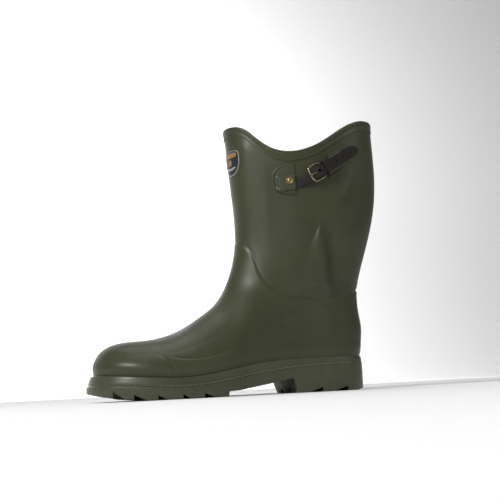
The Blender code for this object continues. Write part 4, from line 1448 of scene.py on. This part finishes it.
CAMERA_YAW = math.radians(17.4)
CAMERA_ROLL = math.radians(-2.8)
CAMERA_TARGET = Vector((0.0162, 0.0034, 0.161))


def make_camera(props):
    """The photograph's viewing angle, lowered only as far as the floor."""
    place = CAMERA_TARGET - Vector((math.sin(CAMERA_YAW), math.cos(CAMERA_YAW), 0.0)) * props.camera_distance
    place.z = props.camera_height
    data = bpy.data.cameras.new("photo_camera")
    camera = bpy.data.objects.new("photo_camera", data)
    bpy.context.scene.collection.objects.link(camera)
    camera.location = place
    look = (CAMERA_TARGET - place).to_track_quat("-Z", "Y").to_matrix()
    camera.rotation_euler = (look @ Matrix.Rotation(CAMERA_ROLL, 3, "Z")).to_euler()
    data.sensor_width = 36.0
    data.lens = props.camera_lens
    data.clip_start = 0.01
    bpy.context.scene.camera = camera


def make_lights(props):
    """Soft lights on the boot, one on the backdrop, and an even surround."""
    area_light("key", (-1.8, -1.35, 1.5), (0.0, 0.0, 0.14), 0.7, 0.7, props.key_power)
    area_light("low_front", (-1.0, -1.6, 0.35), (0.0, 0.0, 0.05), 0.35, 0.25, props.low_power)
    area_light("rear_side", (1.4, -0.9, 1.0), (0.05, 0.0, 0.16), 0.7, 0.7, props.side_power)
    area_light("top", (0.0, 0.3, 1.9), (0.0, 0.0, 0.1), 1.4, 1.4, props.top_power)
    area_light("backdrop", (0.0, 1.3, 1.1), (0.0, 2.8, 0.4), 1.6, 0.5, props.backdrop_power)
    world = bpy.data.worlds.new("studio")
    bpy.context.scene.world = world
    world.use_nodes = True
    background = world.node_tree.nodes["Background"]
    background.inputs["Color"].default_value = (1.0, 1.0, 1.0, 1.0)
    background.inputs["Strength"].default_value = props.world_strength
    bpy.context.scene.view_settings.view_transform = "Standard"


# Settings that a user would change
def power_property(name, words, value):
    """A light's power that the sidebar shows."""
    return bpy.props.FloatProperty(
        name=name, description=f"Power of the {words}", default=value, unit="POWER"
    )


def colour_property(name, description, value):
    """A colour that the sidebar shows."""
    return bpy.props.FloatVectorProperty(
        name=name, description=description, default=value, size=3, subtype="COLOR", min=0.0, max=1.0
    )


class BootFinish(bpy.types.PropertyGroup):
    """Colours and finish of the boot."""

    rubber: colour_property("Rubber", "Colour of the upper's rubber", (0.04, 0.045, 0.02))
    sole: colour_property("Sole", "Colour of the sole's rubber", (0.052, 0.057, 0.031))
    fleece: colour_property("Fleece", "Colour of the lining", (0.66, 0.58, 0.44))
    leather: colour_property("Leather", "Colour of the straps", (0.0085, 0.005, 0.0048))
    brass: colour_property("Brass", "Colour of the rivet", (0.34, 0.26, 0.1))
    frame: colour_property("Buckle", "Colour of the buckle", (0.3, 0.26, 0.17))
    gloss: bpy.props.FloatProperty(
        name="Rubber roughness",
        description="How matt the rubber is",
        default=0.4,
        min=0.1,
        max=0.9,
        subtype="FACTOR",
    )
    stitch_pitch: bpy.props.FloatProperty(
        name="Stitch pitch",
        description="Length of one moulded stitch, in millimetres",
        default=3.2,
        min=1.5,
        max=6.0,
    )
    tufts: bpy.props.IntProperty(
        name="Tufts", description="How many tufts the lining has", default=18000, min=100, max=19000
    )


class BootStage(bpy.types.PropertyGroup):
    """Camera and lights."""

    camera_distance: bpy.props.FloatProperty(
        name="Camera distance", description="Level distance from the boot", default=1.15, unit="LENGTH"
    )
    camera_height: bpy.props.FloatProperty(
        name="Camera height", description="Height over the floor", default=0.012, unit="LENGTH"
    )
    camera_lens: bpy.props.FloatProperty(
        name="Lens", description="Focal length", default=74.3, min=20.0, max=200.0, unit="CAMERA"
    )
    key_power: power_property("Key", "main light", 50.0)
    low_power: power_property("Low", "low light", 1.6)
    side_power: power_property("Side", "rear light", 3.0)
    top_power: power_property("Top", "top light", 10.0)
    backdrop_power: power_property("Backdrop", "light on the backdrop", 32.0)
    world_strength: bpy.props.FloatProperty(
        name="Surround", description="Strength of the white surround", default=0.22, min=0.0, max=5.0
    )


MATERIALS = {}


def finishes():
    """The boot's materials, made once."""
    if not MATERIALS:
        props = bpy.context.scene.boot_finish
        MATERIALS["rubber"] = rubber_material("green_rubber", tuple(props.rubber), props.gloss, 0.12)
        MATERIALS["sole"] = rubber_material("sole_rubber", tuple(props.sole), props.gloss - 0.02, 0.35)
        # The stitch beads are coloured paler than the sole's rubber.
        MATERIALS["stitch"] = rubber_material("pale_stitches", (0.11, 0.115, 0.08), 0.5, 0.3)
        MATERIALS["fleece"] = fleece_material("fleece", tuple(props.fleece))
        MATERIALS["leather"] = leather_material("dark_leather", tuple(props.leather))
        MATERIALS["brass"] = metal_material("worn_brass", tuple(props.brass), 0.24)
        MATERIALS["frame"] = metal_material("pale_brass", tuple(props.frame), 0.22)
        MATERIALS["cream"] = print_material("cream_print", (0.3, 0.3, 0.24))
        MATERIALS["navy"] = print_material("navy_print", (0.006, 0.012, 0.024))
        MATERIALS["gold"] = print_material("gold_print", (0.27, 0.15, 0.045))
    return MATERIALS


class BootOperator:
    """What the boot's operators share."""

    bl_options = {"REGISTER", "UNDO"}


class BOOT_OT_upper(BootOperator, bpy.types.Operator):
    """Model the rubber upper with its folds and seams"""

    bl_idname = "boot.upper"
    bl_label = "Upper"

    def execute(self, context):
        make_upper(finishes())
        return {"FINISHED"}


class BOOT_OT_lining(BootOperator, bpy.types.Operator):
    """Model the fleece lining and the insole"""

    bl_idname = "boot.lining"
    bl_label = "Lining"

    def execute(self, context):
        make_lining(finishes(), context.scene.boot_finish)
        make_insole(finishes())
        return {"FINISHED"}


class BOOT_OT_collar(BootOperator, bpy.types.Operator):
    """Model the binding round the collar"""

    bl_idname = "boot.collar"
    bl_label = "Collar"

    def execute(self, context):
        make_collar(finishes())
        return {"FINISHED"}


class BOOT_OT_sole(BootOperator, bpy.types.Operator):
    """Model the sole with its lugs and its stitch line"""

    bl_idname = "boot.sole"
    bl_label = "Sole"

    def execute(self, context):
        make_outsole(finishes())
        make_stitches(finishes(), context.scene.boot_finish)
        return {"FINISHED"}


class BOOT_OT_strap(BootOperator, bpy.types.Operator):
    """Model the patches, the straps, the buckle, the keeper and the rivet"""

    bl_idname = "boot.strap"
    bl_label = "Strap"

    def execute(self, context):
        materials = finishes()
        make_patches(materials)
        make_long_strap(materials)
        make_short_strap(materials)
        make_buckle(materials)
        make_keeper(materials)
        make_rivet(materials)
        return {"FINISHED"}


class BOOT_OT_badge(BootOperator, bpy.types.Operator):
    """Model the plain shield on the front of the shaft"""

    bl_idname = "boot.badge"
    bl_label = "Badge"

    def execute(self, context):
        make_badge(finishes())
        return {"FINISHED"}


class BOOT_OT_stage(BootOperator, bpy.types.Operator):
    """Set up the floor, the lights and the camera"""

    bl_idname = "boot.stage"
    bl_label = "Stage"

    def execute(self, context):
        props = context.scene.boot_stage
        make_stage()
        make_lights(props)
        make_camera(props)
        return {"FINISHED"}


class BOOT_PT_panel(bpy.types.Panel):
    """Settings and pieces of the boot"""

    bl_label = "Rubber boot"
    bl_idname = "BOOT_PT_panel"
    bl_space_type = "VIEW_3D"
    bl_region_type = "UI"
    bl_category = "Boot"

    def draw(self, context):
        for group in (context.scene.boot_finish, context.scene.boot_stage):
            for key in group.__annotations__:
                self.layout.prop(group, key)
        for operator in OPERATORS:
            self.layout.operator(operator.bl_idname)


OPERATORS = (
    BOOT_OT_stage,
    BOOT_OT_upper,
    BOOT_OT_lining,
    BOOT_OT_collar,
    BOOT_OT_sole,
    BOOT_OT_strap,
    BOOT_OT_badge,
)
CLASSES = (BootFinish, BootStage, *OPERATORS, BOOT_PT_panel)


def register():
    for made in CLASSES:
        bpy.utils.register_class(made)
    bpy.types.Scene.boot_finish = bpy.props.PointerProperty(type=BootFinish)
    bpy.types.Scene.boot_stage = bpy.props.PointerProperty(type=BootStage)


def unregister():
    del bpy.types.Scene.boot_stage
    del bpy.types.Scene.boot_finish
    for made in reversed(CLASSES):
        bpy.utils.unregister_class(made)


def main():
    register()
    bpy.ops.boot.stage()
    bpy.ops.boot.upper()
    bpy.ops.boot.lining()
    bpy.ops.boot.collar()
    bpy.ops.boot.sole()
    bpy.ops.boot.strap()
    bpy.ops.boot.badge()


if __name__ == "__main__":
    main()
